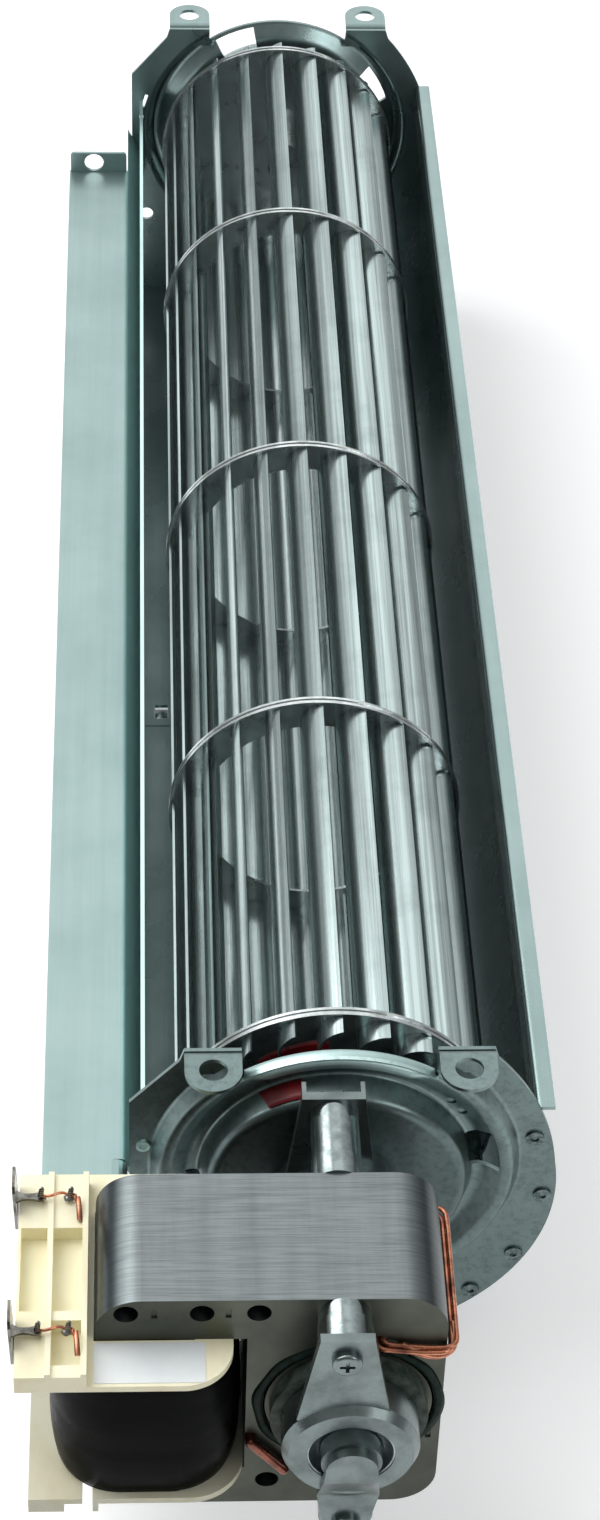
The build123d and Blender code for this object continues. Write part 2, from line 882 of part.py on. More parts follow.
# ---------------------------------------------------------------- coil

def limb_hole(gap):
    return Rectangle(limb_width + 2 * gap, stack_depth + 2 * gap)


def at_coil(shape, z):
    return Pos(coil_centre, stack_middle, z) * shape


def make_winding():
    width = limb_width + 2 * coil_wall
    depth = stack_depth + 2 * coil_front_wall
    face = RectangleRounded(width, depth, coil_corner)
    face -= limb_hole(bobbin_gap + bobbin_wall)
    return at_coil(extrude(face, 2 * coil_half), -coil_half)


def flange_face(left, right, front, back, corner):
    """A bobbin plate with its two right corners rounded."""
    plate = Pos((left + right) / 2, (front + back) / 2) * Rectangle(right - left, back - front)
    plate = fillet(plate.vertices().group_by(Axis.X)[-1], corner)
    return plate - Pos(coil_centre, stack_middle) * limb_hole(bobbin_gap)


def make_bobbin():
    tube = limb_hole(bobbin_gap + bobbin_wall) - limb_hole(bobbin_gap)
    bobbin = at_coil(extrude(tube, 2 * coil_half), -coil_half)
    back = stack_back + flange_back
    upper = flange_face(
        block_right, coil_right - flange_inset, block_front, back, flange_corner
    )
    bobbin += Pos(0, 0, coil_half) * extrude(upper, flange_plate)
    left = stack_left - foot_out
    low_right = min(coil_right + low_plate_out, window_right - bobbin_gap)
    low_front = stack_front - low_plate_front
    lower = flange_face(left, low_right, low_front, back, low_plate_corner)
    notch_x = left + foot_width + ledge_width + foot_notch / 2
    lower -= Pos(notch_x, low_front) * Rectangle(foot_notch, 2 * foot_notch_depth)
    bobbin += Pos(0, 0, -coil_half - flange_plate) * extrude(lower, flange_plate)
    foot_depth = back - low_front
    foot = Pos(left + foot_width / 2, low_front + foot_depth / 2) * Rectangle(
        foot_width, foot_depth
    )
    bobbin += Pos(0, 0, -coil_half - foot_drop) * extrude(foot, foot_drop)
    rib_x, rib_y = foot_rib
    rib = Pos(notch_x + (foot_notch + rib_x) / 2, low_front + rib_y / 2) * Rectangle(rib_x, rib_y)
    return bobbin + Pos(0, 0, -coil_half - foot_drop) * extrude(rib, foot_drop)


def spade_seats():
    """Middle of each spade's narrow foot, along Y."""
    shift = (spade_width - spade_foot) / 2
    return [block_front + inset + shift for inset in spade_insets]


def make_terminal_block():
    depth = block_back - block_front
    middle_y = (block_back + block_front) / 2
    middle_x = (block_right + block_left) / 2
    body = Pos(middle_x, middle_y, coil_half) * extrude(
        Rectangle(block_width, depth), block_height
    )
    column = (block_width - 2 * rib_width) / 2 - rib_width / 2
    rib_places = [block_left + column + rib_width, block_right - rib_width / 2]
    for x in rib_places:
        body += Pos(x, middle_y, block_top + block_rib / 2) * Box(rib_width, depth, block_rib)
    long_end = block_back - block_pocket_gap
    long_start = block_front + block_pocket_front
    short_start = block_front + block_end_wall
    pockets = [
        (block_left + rib_width / 2, rib_places[0] - rib_width / 2, long_start, long_end),
        (rib_places[0] + rib_width / 2, rib_places[1] - rib_width / 2, long_start, long_end),
        (
            rib_places[0] + rib_width / 2,
            rib_places[1] - rib_width / 2,
            short_start,
            long_start - block_bar,
        ),
    ]
    for left, right, front, back in pockets:
        hole = Pos((left + right) / 2, (front + back) / 2) * Rectangle(right - left, back - front)
        body -= Pos(0, 0, block_top - pocket_depth) * extrude(hole, 2 * pocket_depth)
    for y in spade_seats():
        seat = Pos(block_left, y, block_top) * Box(2 * spade_reach, spade_foot, spade / 2)
        body -= seat
    return body


def make_spades():
    """Tinned spades: a narrow foot in the block and a blade beside it."""
    low = block_top - spade / 4
    outer = block_left - spade_out
    spades = []
    for y in spade_seats():
        path = FilletPolyline(
            (block_left + spade_reach, low),
            (outer, low),
            (outer, low + spade_height),
            radius=bend,
        )
        bent = strip(path, spade, Side.RIGHT)
        foot = extrude(Plane.XZ.offset(-y - spade_foot / 2) * bent, spade_foot)
        middle_y = y - (spade_width - spade_foot) / 2
        height = spade_height - 2 * bend
        blade_z = low + spade_height - height / 2
        blade_box = Pos(outer + spade / 2, middle_y, blade_z) * Box(spade, spade_width, height)
        eye = Pos(outer, middle_y, blade_z + height / 6) * Rot(0, 90, 0) * Cylinder(
            spade_eye, 4 * spade
        )
        spades.append(foot + blade_box - eye)
    return group(spades)


def make_label():
    middle_y = (stack_front + block_front) / 2
    plate = Pos(stack_left + label_inset, middle_y) * RectangleRounded(*label_size, label_corner)
    return Pos(0, 0, window_half) * extrude(plate, label_thickness)


# ---------------------------------------------------------------- everything

near_plate, far_plate = make_end_plates()
save(near_plate, "end_plate_motor_side")
save(far_plate, "end_plate_far_side")
save(make_scroll(), "scroll_sheet")
save(make_tongue(), "tongue_sheet")
save(make_outlet_flange(), "outlet_flange")

grommet, far_bearing, bearing_clip = make_far_bearing()
save(grommet, "far_bearing_grommet")
save(far_bearing, "far_bearing")
save(bearing_clip, "far_bearing_clip")

save(make_stack(), "stator_stack")
save(make_core(), "coil_core")
save(make_bobbin(), "bobbin")
save(make_winding(), "coil_winding")
save(make_terminal_block(), "terminal_block")
save(make_spades(), "spade_terminals")
save(make_label(), "rating_label")
upper_shade_leg = (stack_right + shade_reach, upper_shade_hole[1] - upper_shade_drop)
save(shading_ring(upper_shade_hole, upper_shade_leg), "shading_ring_upper")
save(shading_ring(lower_shade_hole, lower_shade_notch), "shading_ring_lower")
save(make_front_bracket(), "front_bracket")
save(make_rear_bracket(), "rear_bracket")
front_bearing, rear_bearing = make_bearings()
save(front_bearing, "front_bearing")
save(rear_bearing, "rear_bearing")
front_spacers, rear_spacers = make_spacers()
save(front_spacers, "front_spacers")
save(rear_spacers, "rear_spacers")
save(make_studs(), "through_studs")
save(make_stud_nuts(), "stud_nuts")

save(make_shaft(), "motor_shaft")
rotor_core, end_rings = make_rotor()
save(rotor_core, "rotor_core")
save(end_rings, "rotor_end_rings")
save(make_collars(), "thrust_collars")
drive_hub, set_screw, far_hub = make_hubs()
save(drive_hub, "drive_hub")
save(set_screw, "hub_set_screw")
save(far_hub, "far_hub")
save(make_stub_axle(), "stub_axle")
near_disc, far_disc = make_end_discs()
save(near_disc, "end_disc_driven")
save(far_disc, "end_disc_far")
save(make_rings(), "impeller_rings")
save(make_blades(), "impeller_blades")
save(make_balance_mark(), "balance_mark")
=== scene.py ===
import bpy
import bmesh
import math
import random
from mathutils import Matrix, Vector


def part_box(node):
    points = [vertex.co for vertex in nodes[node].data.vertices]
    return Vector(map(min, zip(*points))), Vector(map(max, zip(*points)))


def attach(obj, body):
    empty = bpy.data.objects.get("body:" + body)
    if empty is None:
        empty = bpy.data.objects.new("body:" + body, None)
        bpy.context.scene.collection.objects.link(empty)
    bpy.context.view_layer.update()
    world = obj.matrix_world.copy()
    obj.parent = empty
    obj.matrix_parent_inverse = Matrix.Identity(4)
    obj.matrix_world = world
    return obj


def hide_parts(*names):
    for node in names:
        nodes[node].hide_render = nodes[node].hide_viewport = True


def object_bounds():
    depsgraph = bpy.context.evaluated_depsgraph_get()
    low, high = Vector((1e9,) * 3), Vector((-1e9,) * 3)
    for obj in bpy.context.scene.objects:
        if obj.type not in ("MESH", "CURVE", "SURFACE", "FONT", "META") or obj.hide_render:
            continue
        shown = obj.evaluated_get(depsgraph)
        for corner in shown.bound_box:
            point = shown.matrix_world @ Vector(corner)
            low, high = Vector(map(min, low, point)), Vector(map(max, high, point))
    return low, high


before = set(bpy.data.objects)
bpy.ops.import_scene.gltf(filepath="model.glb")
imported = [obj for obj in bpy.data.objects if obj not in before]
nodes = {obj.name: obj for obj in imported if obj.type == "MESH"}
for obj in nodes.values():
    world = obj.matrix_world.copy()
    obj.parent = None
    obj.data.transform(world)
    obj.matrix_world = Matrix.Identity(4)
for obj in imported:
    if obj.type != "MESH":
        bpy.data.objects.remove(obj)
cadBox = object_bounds()
print("frame loaded")

# camera: above and in front of the motor end, looking along the fan
cameraSetup = {
    "place": (-0.03465, -0.60359, 0.44444),
    "right": (0.99898, -0.03576, 0.02758),
    "down": (-0.00320, -0.66537, -0.74651),
    "forward": (0.04505, 0.74566, -0.66480),
    "lens": 80.15921,
    "sensorHeight": 36.0,
    "nearest": 0.01,
}


def makeCamera(setup):
    data = bpy.data.cameras.new("camera")
    data.sensor_fit = "VERTICAL"
    data.sensor_height = setup["sensorHeight"]
    data.lens = setup["lens"]
    data.clip_start = setup["nearest"]
    camera = bpy.data.objects.new("camera", data)
    columns = [Vector(setup["right"]), -Vector(setup["down"]), -Vector(setup["forward"])]
    turn = Matrix(columns).transposed().to_4x4()
    camera.matrix_world = Matrix.Translation(Vector(setup["place"])) @ turn
    bpy.context.scene.collection.objects.link(camera)
    bpy.context.scene.camera = camera


makeCamera(cameraSetup)


# small helpers for materials
def startMaterial(name):
    material = bpy.data.materials.new(name)
    material.use_nodes = True
    tree = material.node_tree
    shader = tree.nodes["Principled BSDF"]
    place = tree.nodes.new("ShaderNodeTexCoord")
    return material, tree, shader, place.outputs["Object"]


def scaledPlace(tree, place, scale):
    mapping = tree.nodes.new("ShaderNodeMapping")
    mapping.inputs["Scale"].default_value = scale
    tree.links.new(place, mapping.inputs["Vector"])
    return mapping.outputs["Vector"]


def noiseValue(tree, place, scale, detail=4.0, rough=0.55):
    noise = tree.nodes.new("ShaderNodeTexNoise")
    noise.inputs["Scale"].default_value = scale
    noise.inputs["Detail"].default_value = detail
    noise.inputs["Roughness"].default_value = rough
    tree.links.new(place, noise.inputs["Vector"])
    return noise.outputs["Fac"]


def colourRamp(tree, value, stops):
    ramp = tree.nodes.new("ShaderNodeValToRGB")
    elements = ramp.color_ramp.elements
    while len(elements) < len(stops):
        elements.new(0.5)
    for element, (position, colour) in zip(elements, stops):
        element.position = position
        element.color = (*colour, 1)
    tree.links.new(value, ramp.inputs["Fac"])
    return ramp.outputs["Color"]


def valueRange(tree, value, low, high, start=0.3, end=0.7):
    spread = tree.nodes.new("ShaderNodeMapRange")
    spread.inputs["From Min"].default_value = start
    spread.inputs["From Max"].default_value = end
    spread.inputs["To Min"].default_value = low
    spread.inputs["To Max"].default_value = high
    tree.links.new(value, spread.inputs["Value"])
    return spread.outputs["Result"]


def blendColours(tree, factor, first, second, way="MIX"):
    mix = tree.nodes.new("ShaderNodeMix")
    mix.data_type = "RGBA"
    mix.blend_type = way
    for socket, value in (("Factor", factor), ("A", first), ("B", second)):
        spot = [s for s in mix.inputs if s.name == socket and s.enabled][0]
        if hasattr(value, "is_output"):
            tree.links.new(value, spot)
        elif socket == "Factor":
            spot.default_value = value
        else:
            spot.default_value = (*value, 1)
    return [s for s in mix.outputs if s.enabled][0]


def toneDown(tree, share, colour, tone):
    darker = blendColours(tree, 1.0, colour, tone, "MULTIPLY")
    return blendColours(tree, share, colour, darker)


def splitAxes(tree, vector):
    split = tree.nodes.new("ShaderNodeSeparateXYZ")
    tree.links.new(vector, split.inputs["Vector"])
    return split.outputs


def mathsNode(tree, kind, operation, values, output):
    node = tree.nodes.new(kind)
    node.operation = operation
    for spot, value in zip(node.inputs, values):
        if hasattr(value, "is_output"):
            tree.links.new(value, spot)
        else:
            spot.default_value = value
    return node.outputs[output]


def numberMaths(tree, operation, *values):
    return mathsNode(tree, "ShaderNodeMath", operation, values, "Value")


def vectorMaths(tree, operation, *values, output="Vector"):
    return mathsNode(tree, "ShaderNodeVectorMath", operation, values, output)


def addBump(tree, shader, height, strength, distance, under=None):
    bump = tree.nodes.new("ShaderNodeBump")
    bump.inputs["Strength"].default_value = strength
    bump.inputs["Distance"].default_value = distance
    tree.links.new(height, bump.inputs["Height"])
    if under is not None:
        tree.links.new(under, bump.inputs["Normal"])
    tree.links.new(bump.outputs["Normal"], shader.inputs["Normal"])
    return bump.outputs["Normal"]


# galvanised sheet: soft blotches, fine rolling lines along the fan
zincLook = {
    "light": (0.42, 0.56, 0.55),
    "dark": (0.355, 0.485, 0.475),
    "blotchSize": 38.0,
    "rollingLines": (420.0, 9.0, 420.0),
    "lineTone": (0.80, 0.80, 0.80),
    "lineShare": 0.45,
    "grainSize": 420.0,
    "metallic": 0.90,
    "roughLow": 0.20,
    "roughHigh": 0.31,
    "lineBump": 0.10,
    "grainBump": 0.05,
    "bumpHeight": 0.0002,
}
blank = (1.0, 1.0, 1.0)     # leaves a colour as it is


def fromAxis(tree, place, centre):
    away = vectorMaths(tree, "SUBTRACT", place, centre)
    return vectorMaths(tree, "MULTIPLY", away, (1, 0, 1))


# painted shade mask: 1 where the sheet faces the middle of the scroll, 0 outside
def insideShadeShare(tree, place, inside):
    geometry = tree.nodes.new("ShaderNodeNewGeometry")
    away = fromAxis(tree, place, inside["centre"])
    facing = vectorMaths(tree, "DOT_PRODUCT", away, geometry.outputs["Normal"], output="Value")
    return valueRange(tree, facing, 1.0, 0.0, -inside["turnOver"], 0.0)


# 1 inside a radius about the fan's axis, 0 outside
def roundShare(tree, place, centre, start, end):
    reach = vectorMaths(tree, "LENGTH", fromAxis(tree, place, centre), output="Value")
    return valueRange(tree, reach, 1.0, 0.0, start, end)


# worn rivet heads, where the scroll's tabs come through the end plate
def rivetHeads(tree, place, colour, inside):
    level = -inside["headsFrom"]
    heads = valueRange(tree, splitAxes(tree, place)["Y"], 1.0, 0.0, level - 0.0001, level)
    worn = noiseValue(tree, place, inside["headSize"], 4.0, 0.65)
    tone = colourRamp(tree, worn, [(0.35, inside["headDark"]), (0.62, inside["headLight"])])
    return blendColours(tree, heads, colour, tone)


# painted highlight: the top of the bead's crest is given a lighter colour
def paintedCrestHighlight(tree, place, colour, blotches, crest):
    high = valueRange(tree, splitAxes(tree, place)["Z"], 0.0, 1.0, crest["low"], crest["high"])
    outer, inner = crest["outer"], crest["inner"]
    band = roundShare(tree, place, crest["centre"], outer, outer + crest["outerFade"])
    hollow = roundShare(tree, place, crest["centre"], inner, inner + crest["innerFade"])
    none = (0, 0, 0)
    band = blendColours(tree, hollow, blendColours(tree, high, none, band), none)
    bright = colourRamp(tree, blotches, [(0.28, crest["dark"]), (0.62, crest["light"])])
    return blendColours(tree, band, colour, bright)


def zincSheet(name, look, paintedLight, roughShift=0.0, inner=None, dome=None, crest=None, specks=None):
    material, tree, shader, place = startMaterial(name)
    blotches = noiseValue(tree, place, look["blotchSize"], 6.0, 0.6)
    # painted light and shade: each copy's colours are scaled up or down
    light = tuple(c * paintedLight for c in look["light"])
    dark = tuple(c * paintedLight for c in look["dark"])
    base = colourRamp(tree, blotches, [(0.28, dark), (0.62, light)])
    lines = noiseValue(tree, scaledPlace(tree, place, look["rollingLines"]), 1.0, 5.0, 0.7)
    soft = colourRamp(tree, lines, [(0.3, look["lineTone"]), (0.6, blank)])
    colour = blendColours(tree, look["lineShare"], base, soft, "MULTIPLY")
    if inner:
        # painted shade where the scroll's sheet faces its middle
        colour = toneDown(tree, insideShadeShare(tree, place, inner), colour, inner["tone"])
        colour = rivetHeads(tree, place, colour, inner)
    if dome:
        # painted shade on the middle of the dome
        share = roundShare(tree, place, dome["centre"], dome["start"], dome["end"])
        colour = toneDown(tree, share, colour, dome["tone"])
    if crest:
        # painted highlight on the bead's crest
        colour = paintedCrestHighlight(tree, place, colour, blotches, crest)
    if specks:
        spots = noiseValue(tree, place, specks["size"], 4.0, 0.7)
        grey = colourRamp(tree, spots, [(0.36, specks["tone"]), (0.52, blank)])
        colour = blendColours(tree, specks["share"], colour, grey, "MULTIPLY")
    tree.links.new(colour, shader.inputs["Base Color"])
    grains = tree.nodes.new("ShaderNodeTexVoronoi")
    grains.inputs["Scale"].default_value = look["grainSize"]
    tree.links.new(place, grains.inputs["Vector"])
    high, low = look["roughHigh"] + roughShift, look["roughLow"] + roughShift
    tree.links.new(valueRange(tree, blotches, high, low), shader.inputs["Roughness"])
    shader.inputs["Metallic"].default_value = look["metallic"]
    first = addBump(tree, shader, lines, look["lineBump"], look["bumpHeight"])
    addBump(tree, shader, grains.outputs["Distance"], look["grainBump"], look["bumpHeight"], first)
    return material


# mill aluminium of the drum: long drawn lines, dull, a little dirt
drumLook = {
    "light": (0.48, 0.585, 0.58),
    "dark": (0.19, 0.225, 0.225),
    "lines": (900.0, 7.0, 900.0),
    "roughLow": 0.17,
    "roughHigh": 0.32,
}
ringLook = {
    "light": (0.66, 0.71, 0.705),
    "dark": (0.36, 0.40, 0.395),
    "lines": (260.0, 260.0, 260.0),
    "roughLow": 0.16,
    "roughHigh": 0.30,
}
aluminiumDirt = {"size": 70.0, "tone": (0.62, 0.64, 0.64), "share": 0.6}


def drawnAluminium(name, look, soil):
    material, tree, shader, place = startMaterial(name)
    streaks = noiseValue(tree, scaledPlace(tree, place, look["lines"]), 1.0, 6.0, 0.65)
    base = colourRamp(tree, streaks, [(0.30, look["dark"]), (0.60, look["light"])])
    dirt = noiseValue(tree, place, soil["size"], 5.0, 0.6)
    soiled = colourRamp(tree, dirt, [(0.25, soil["tone"]), (0.5, blank)])
    colour = blendColours(tree, soil["share"], base, soiled, "MULTIPLY")
    tree.links.new(colour, shader.inputs["Base Color"])
    rough = valueRange(tree, streaks, look["roughHigh"], look["roughLow"])
    tree.links.new(rough, shader.inputs["Roughness"])
    shader.inputs["Metallic"].default_value = 0.95
    addBump(tree, shader, streaks, 0.18, 0.0002)
    return material


# the stack of thin lacquered sheets: one line for each few sheets
stackLook = {
    "edgeLight": (0.228, 0.258, 0.262),
    "edgeDark": (0.130, 0.147, 0.151),
    "faceLight": (0.100, 0.110, 0.088),
    "faceDark": (0.045, 0.050, 0.040),
    "sheetLines": (90.0, 3000.0, 90.0),
    "brushLines": (260.0, 22.0, 260.0),
    "brushTone": (0.72, 0.73, 0.74),
    "brushShare": 0.6,
    "patchSize": 55.0,
    # painted shade: the round ends, which face sideways, are darkened
    "sideShadeTone": (0.30, 0.33, 0.34),  # the round ends look darker
    "metallic": 0.85,
}


def laminatedSteel(name, look):
    material, tree, shader, place = startMaterial(name)
    geometry = tree.nodes.new("ShaderNodeNewGeometry")
    normal = splitAxes(tree, geometry.outputs["Normal"])
    flat = valueRange(tree, numberMaths(tree, "ABSOLUTE", normal["Y"]), 0.0, 1.0, 0.5, 0.8)
    # painted shade mask: surfaces turned to the sides
    sideShade = valueRange(tree, numberMaths(tree, "ABSOLUTE", normal["X"]), 0.0, 1.0, 0.10, 0.62)
    lines = noiseValue(tree, scaledPlace(tree, place, look["sheetLines"]), 1.0, 3.0, 0.6)
    brushed = noiseValue(tree, scaledPlace(tree, place, look["brushLines"]), 1.0, 4.0, 0.6)
    edges = colourRamp(tree, lines, [(0.22, look["edgeDark"]), (0.60, look["edgeLight"])])
    across = colourRamp(tree, brushed, [(0.3, look["brushTone"]), (0.6, blank)])
    edges = blendColours(tree, look["brushShare"], edges, across, "MULTIPLY")
    edges = toneDown(tree, sideShade, edges, look["sideShadeTone"])
    patches = noiseValue(tree, place, look["patchSize"], 5.0, 0.6)
    faces = colourRamp(tree, patches, [(0.3, look["faceDark"]), (0.65, look["faceLight"])])
    tree.links.new(blendColours(tree, flat, edges, faces), shader.inputs["Base Color"])
    tree.links.new(valueRange(tree, flat, 0.30, 0.42, 0.0, 1.0), shader.inputs["Roughness"])
    shader.inputs["Metallic"].default_value = look["metallic"]
    addBump(tree, shader, lines, 0.10, 0.0001)
    return material


# moulded cream nylon with faint flow marks, darker towards the bottom
creamLook = {
    "light": (0.92, 0.88, 0.65),
    "dark": (0.84, 0.77, 0.52),
    "flow": (1.0, 0.5, 1.6),
    "flowSize": 130.0,
    "lowerTone": (0.66, 0.68, 0.72),
    "lowerFull": -0.052,
    "lowerStart": -0.022,
    "grainSize": 1500.0,
    "depth": 0.12,
    "depthReach": (0.0012, 0.0009, 0.0005),
}


def mouldedNylon(name, look):
    material, tree, shader, place = startMaterial(name)
    flow = noiseValue(tree, scaledPlace(tree, place, look["flow"]), look["flowSize"], 5.0, 0.55)
    colour = colourRamp(tree, flow, [(0.3, look["dark"]), (0.55, look["light"])])
    height = splitAxes(tree, place)["Z"]
    lowerShare = valueRange(tree, height, 1.0, 0.0, look["lowerFull"], look["lowerStart"])
    tree.links.new(toneDown(tree, lowerShare, colour, look["lowerTone"]), shader.inputs["Base Color"])
    grain = noiseValue(tree, place, look["grainSize"], 3.0, 0.6)
    tree.links.new(valueRange(tree, grain, 0.36, 0.50), shader.inputs["Roughness"])
    shader.inputs["Subsurface Weight"].default_value = look["depth"]
    shader.inputs["Subsurface Radius"].default_value = look["depthReach"]
    shader.inputs["Subsurface Scale"].default_value = 1.0
    addBump(tree, shader, grain, 0.06, 0.0002)
    return material


# black glossy tape round the coil
tapeLook = {
    "light": (0.0022, 0.0026, 0.0024),
    "dark": (0.0010, 0.0013, 0.0012),
    "swell": (0.5, 0.5, 2.2),
    "swellSize": 130.0,
    "fineSize": 330.0,
    "shine": 0.03,
}


def blackTape(name, look):
    material, tree, shader, place = startMaterial(name)
    swell = noiseValue(tree, scaledPlace(tree, place, look["swell"]), look["swellSize"], 3.0, 0.5)
    colour = colourRamp(tree, swell, [(0.35, look["dark"]), (0.7, look["light"])])
    tree.links.new(colour, shader.inputs["Base Color"])
    fine = noiseValue(tree, place, look["fineSize"], 3.0, 0.5)
    tree.links.new(valueRange(tree, fine, 0.26, 0.40), shader.inputs["Roughness"])
    shader.inputs["Specular IOR Level"].default_value = look["shine"]
    first = addBump(tree, shader, swell, 0.12, 0.0005)
    addBump(tree, shader, fine, 0.04, 0.0002, first)
    return material


# enamelled copper, and a darker copper for the lower shading ring
copperLook = {"light": (0.62, 0.24, 0.13), "dark": (0.16, 0.05, 0.032)}
darkerCopperLook = {"light": (0.26, 0.075, 0.04), "dark": (0.07, 0.02, 0.013)}


def enamelledCopper(name, look):
    material, tree, shader, place = startMaterial(name)
    drift = noiseValue(tree, place, 260.0, 5.0, 0.6)
    colour = colourRamp(tree, drift, [(0.32, look["dark"]), (0.6, look["light"])])
    tree.links.new(colour, shader.inputs["Base Color"])
    tree.links.new(valueRange(tree, drift, 0.38, 0.22), shader.inputs["Roughness"])
    shader.inputs["Metallic"].default_value = 0.85
    shader.inputs["Coat Weight"].default_value = 0.4
    shader.inputs["Coat Roughness"].default_value = 0.12
    addBump(tree, shader, drift, 0.12, 0.0003)
    return material


# zinc plated brackets, spacers and screws
platedLook = {
    "light": (0.20, 0.242, 0.238),
    "dark": (0.105, 0.130, 0.127),
    "roughLow": 0.24,
    "roughHigh": 0.38,
}
groundLook = {
    "light": (0.29, 0.34, 0.34),
    "dark": (0.15, 0.18, 0.18),
    "roughLow": 0.12,
    "roughHigh": 0.24,
}
# painted light: the cone's plated steel is given a lighter colour than the bracket's
coneLitLook = {
    "light": (0.50, 0.57, 0.565),
    "dark": (0.20, 0.24, 0.24),
    "roughLow": 0.26,
    "roughHigh": 0.40,
}
tinnedLook = {
    "light": (0.25, 0.245, 0.222),
    "dark": (0.028, 0.025, 0.019),
    "roughLow": 0.10,
    "roughHigh": 0.26,
}


def platedSteel(name, look, size=150.0, metallic=0.95):
    material, tree, shader, place = startMaterial(name)
    clouds = noiseValue(tree, place, size, 6.0, 0.62)
    colour = colourRamp(tree, clouds, [(0.28, look["dark"]), (0.58, look["light"])])
    tree.links.new(colour, shader.inputs["Base Color"])
    rough = valueRange(tree, clouds, look["roughHigh"], look["roughLow"])
    tree.links.new(rough, shader.inputs["Roughness"])
    shader.inputs["Metallic"].default_value = metallic
    fine = noiseValue(tree, place, 2100.0, 3.0, 0.6)
    addBump(tree, shader, fine, 0.08, 0.0001)
    return material


# paints, rubber, sintered and cast metal: soft drifts of two tones
def mattPaint(name, light, dark, rough, size=300.0, coat=0.0, specular=0.5):
    material, tree, shader, place = startMaterial(name)
    drift = noiseValue(tree, place, size, 5.0, 0.6)
    colour = colourRamp(tree, drift, [(0.3, dark), (0.62, light)])
    tree.links.new(colour, shader.inputs["Base Color"])
    tree.links.new(valueRange(tree, drift, rough * 1.15, rough * 0.85), shader.inputs["Roughness"])
    shader.inputs["Coat Weight"].default_value = coat
    shader.inputs["Specular IOR Level"].default_value = specular
    addBump(tree, shader, drift, 0.15, 0.0003)
    return material


# what sets the sheets apart: painted shade inside the scroll and on the dome, a painted highlight
# on the bead's crest, rivet heads and specks
scrollShadeAndRivets = {
    "centre": (-0.002, 0.0, -0.039),
    "turnOver": 0.012,
    # painted shade: this tone darkens the inside of the scroll
    "tone": (0.38, 0.395, 0.395),
    "headsFrom": 0.1830,           # rivet heads from here on, towards the motor
    "headSize": 900.0,
    "headLight": (0.20, 0.26, 0.255),
    "headDark": (0.05, 0.07, 0.068),
}
# painted shade: the dome's middle, inside this radius, is darkened
domeShade = {
    "centre": (0.0, 0.0, -0.0315),
    "start": 0.0235,
    "end": 0.0255,
    "tone": (0.62, 0.63, 0.63),
}
# painted highlight: a lighter colour on the top of the bead's crest
beadCrestHighlight = {
    "centre": (0.0, 0.0, -0.0315),
    "inner": 0.0268,
    "innerFade": 0.0012,
    "outer": 0.0316,
    "outerFade": 0.0003,
    "low": -0.0130,
    "high": -0.0030,
    "light": (0.62, 0.80, 0.78),
    "dark": (0.50, 0.66, 0.65),
}
plateSpecks = {"size": 620.0, "tone": (0.55, 0.57, 0.57), "share": 0.55}
# lit and shaded copies of one galvanised sheet: the third number scales each sheet's colour, as
# painted light and shade
zinc = zincSheet("galvanisedFlange", zincLook, 0.80, roughShift=0.14)
zincPlateLitShaded = zincSheet("galvanisedPlateLitShaded", zincLook, 0.48, roughShift=0.10,
                      dome=domeShade, crest=beadCrestHighlight, specks=plateSpecks)
zincRollHighlight = zincSheet("galvanisedRollHighlight", zincLook, 1.15, roughShift=0.20)
zincFarShaded = zincSheet("galvanisedFarPlateShaded", zincLook, 0.70, roughShift=0.04)
zincScrollShaded = zincSheet("galvanisedScrollShaded", zincLook, 0.72, inner=scrollShadeAndRivets)
zincTongueLit = zincSheet("galvanisedTongueLit", zincLook, 1.55, roughShift=0.10)
aluminium = drawnAluminium("drawnAluminium", drumLook, aluminiumDirt)
ringAluminium = drawnAluminium("pressedRing", ringLook, aluminiumDirt)
lamination = laminatedSteel("laminatedSteel", stackLook)
cream = mouldedNylon("creamNylon", creamLook)
tape = blackTape("blackTape", tapeLook)
copper = enamelledCopper("enamelledCopper", copperLook)
darkCopper = enamelledCopper("darkerCopper", darkerCopperLook)
plated = platedSteel("platedSteel", platedLook)
ground = platedSteel("groundSteel", groundLook, size=420.0, metallic=1.0)
bronze = mattPaint("sinteredBronze", (0.35, 0.26, 0.15), (0.22, 0.16, 0.10), 0.5)
rubber = mattPaint("blackRubber", (0.030, 0.030, 0.030), (0.016, 0.016, 0.016), 0.62)
coneMetalLit = platedSteel("pressedConeLit", coneLitLook)
tinned = platedSteel("tinnedBrass", tinnedLook, size=420.0, metallic=1.0)
putty = mattPaint("redPutty", (0.24, 0.004, 0.008), (0.09, 0.002, 0.004), 0.40, size=260.0)
labelStock = mattPaint("bareLabel", (0.80, 0.84, 0.84), (0.72, 0.77, 0.78), 0.32,
                       size=120.0, coat=0.3)
lacquer = mattPaint("greenLacquer", (0.010, 0.026, 0.019), (0.002, 0.006, 0.005), 0.42,
                    size=620.0, specular=0.08)
endRingMetal = mattPaint("castEndRing", (0.075, 0.10, 0.082), (0.012, 0.020, 0.016), 0.4,
                         size=500.0, specular=0.15)
solder = mattPaint("dullSolder", (0.42, 0.42, 0.41), (0.20, 0.20, 0.20), 0.34, size=900.0)
solder.node_tree.nodes["Principled BSDF"].inputs["Metallic"].default_value = 0.9
print("materials made")

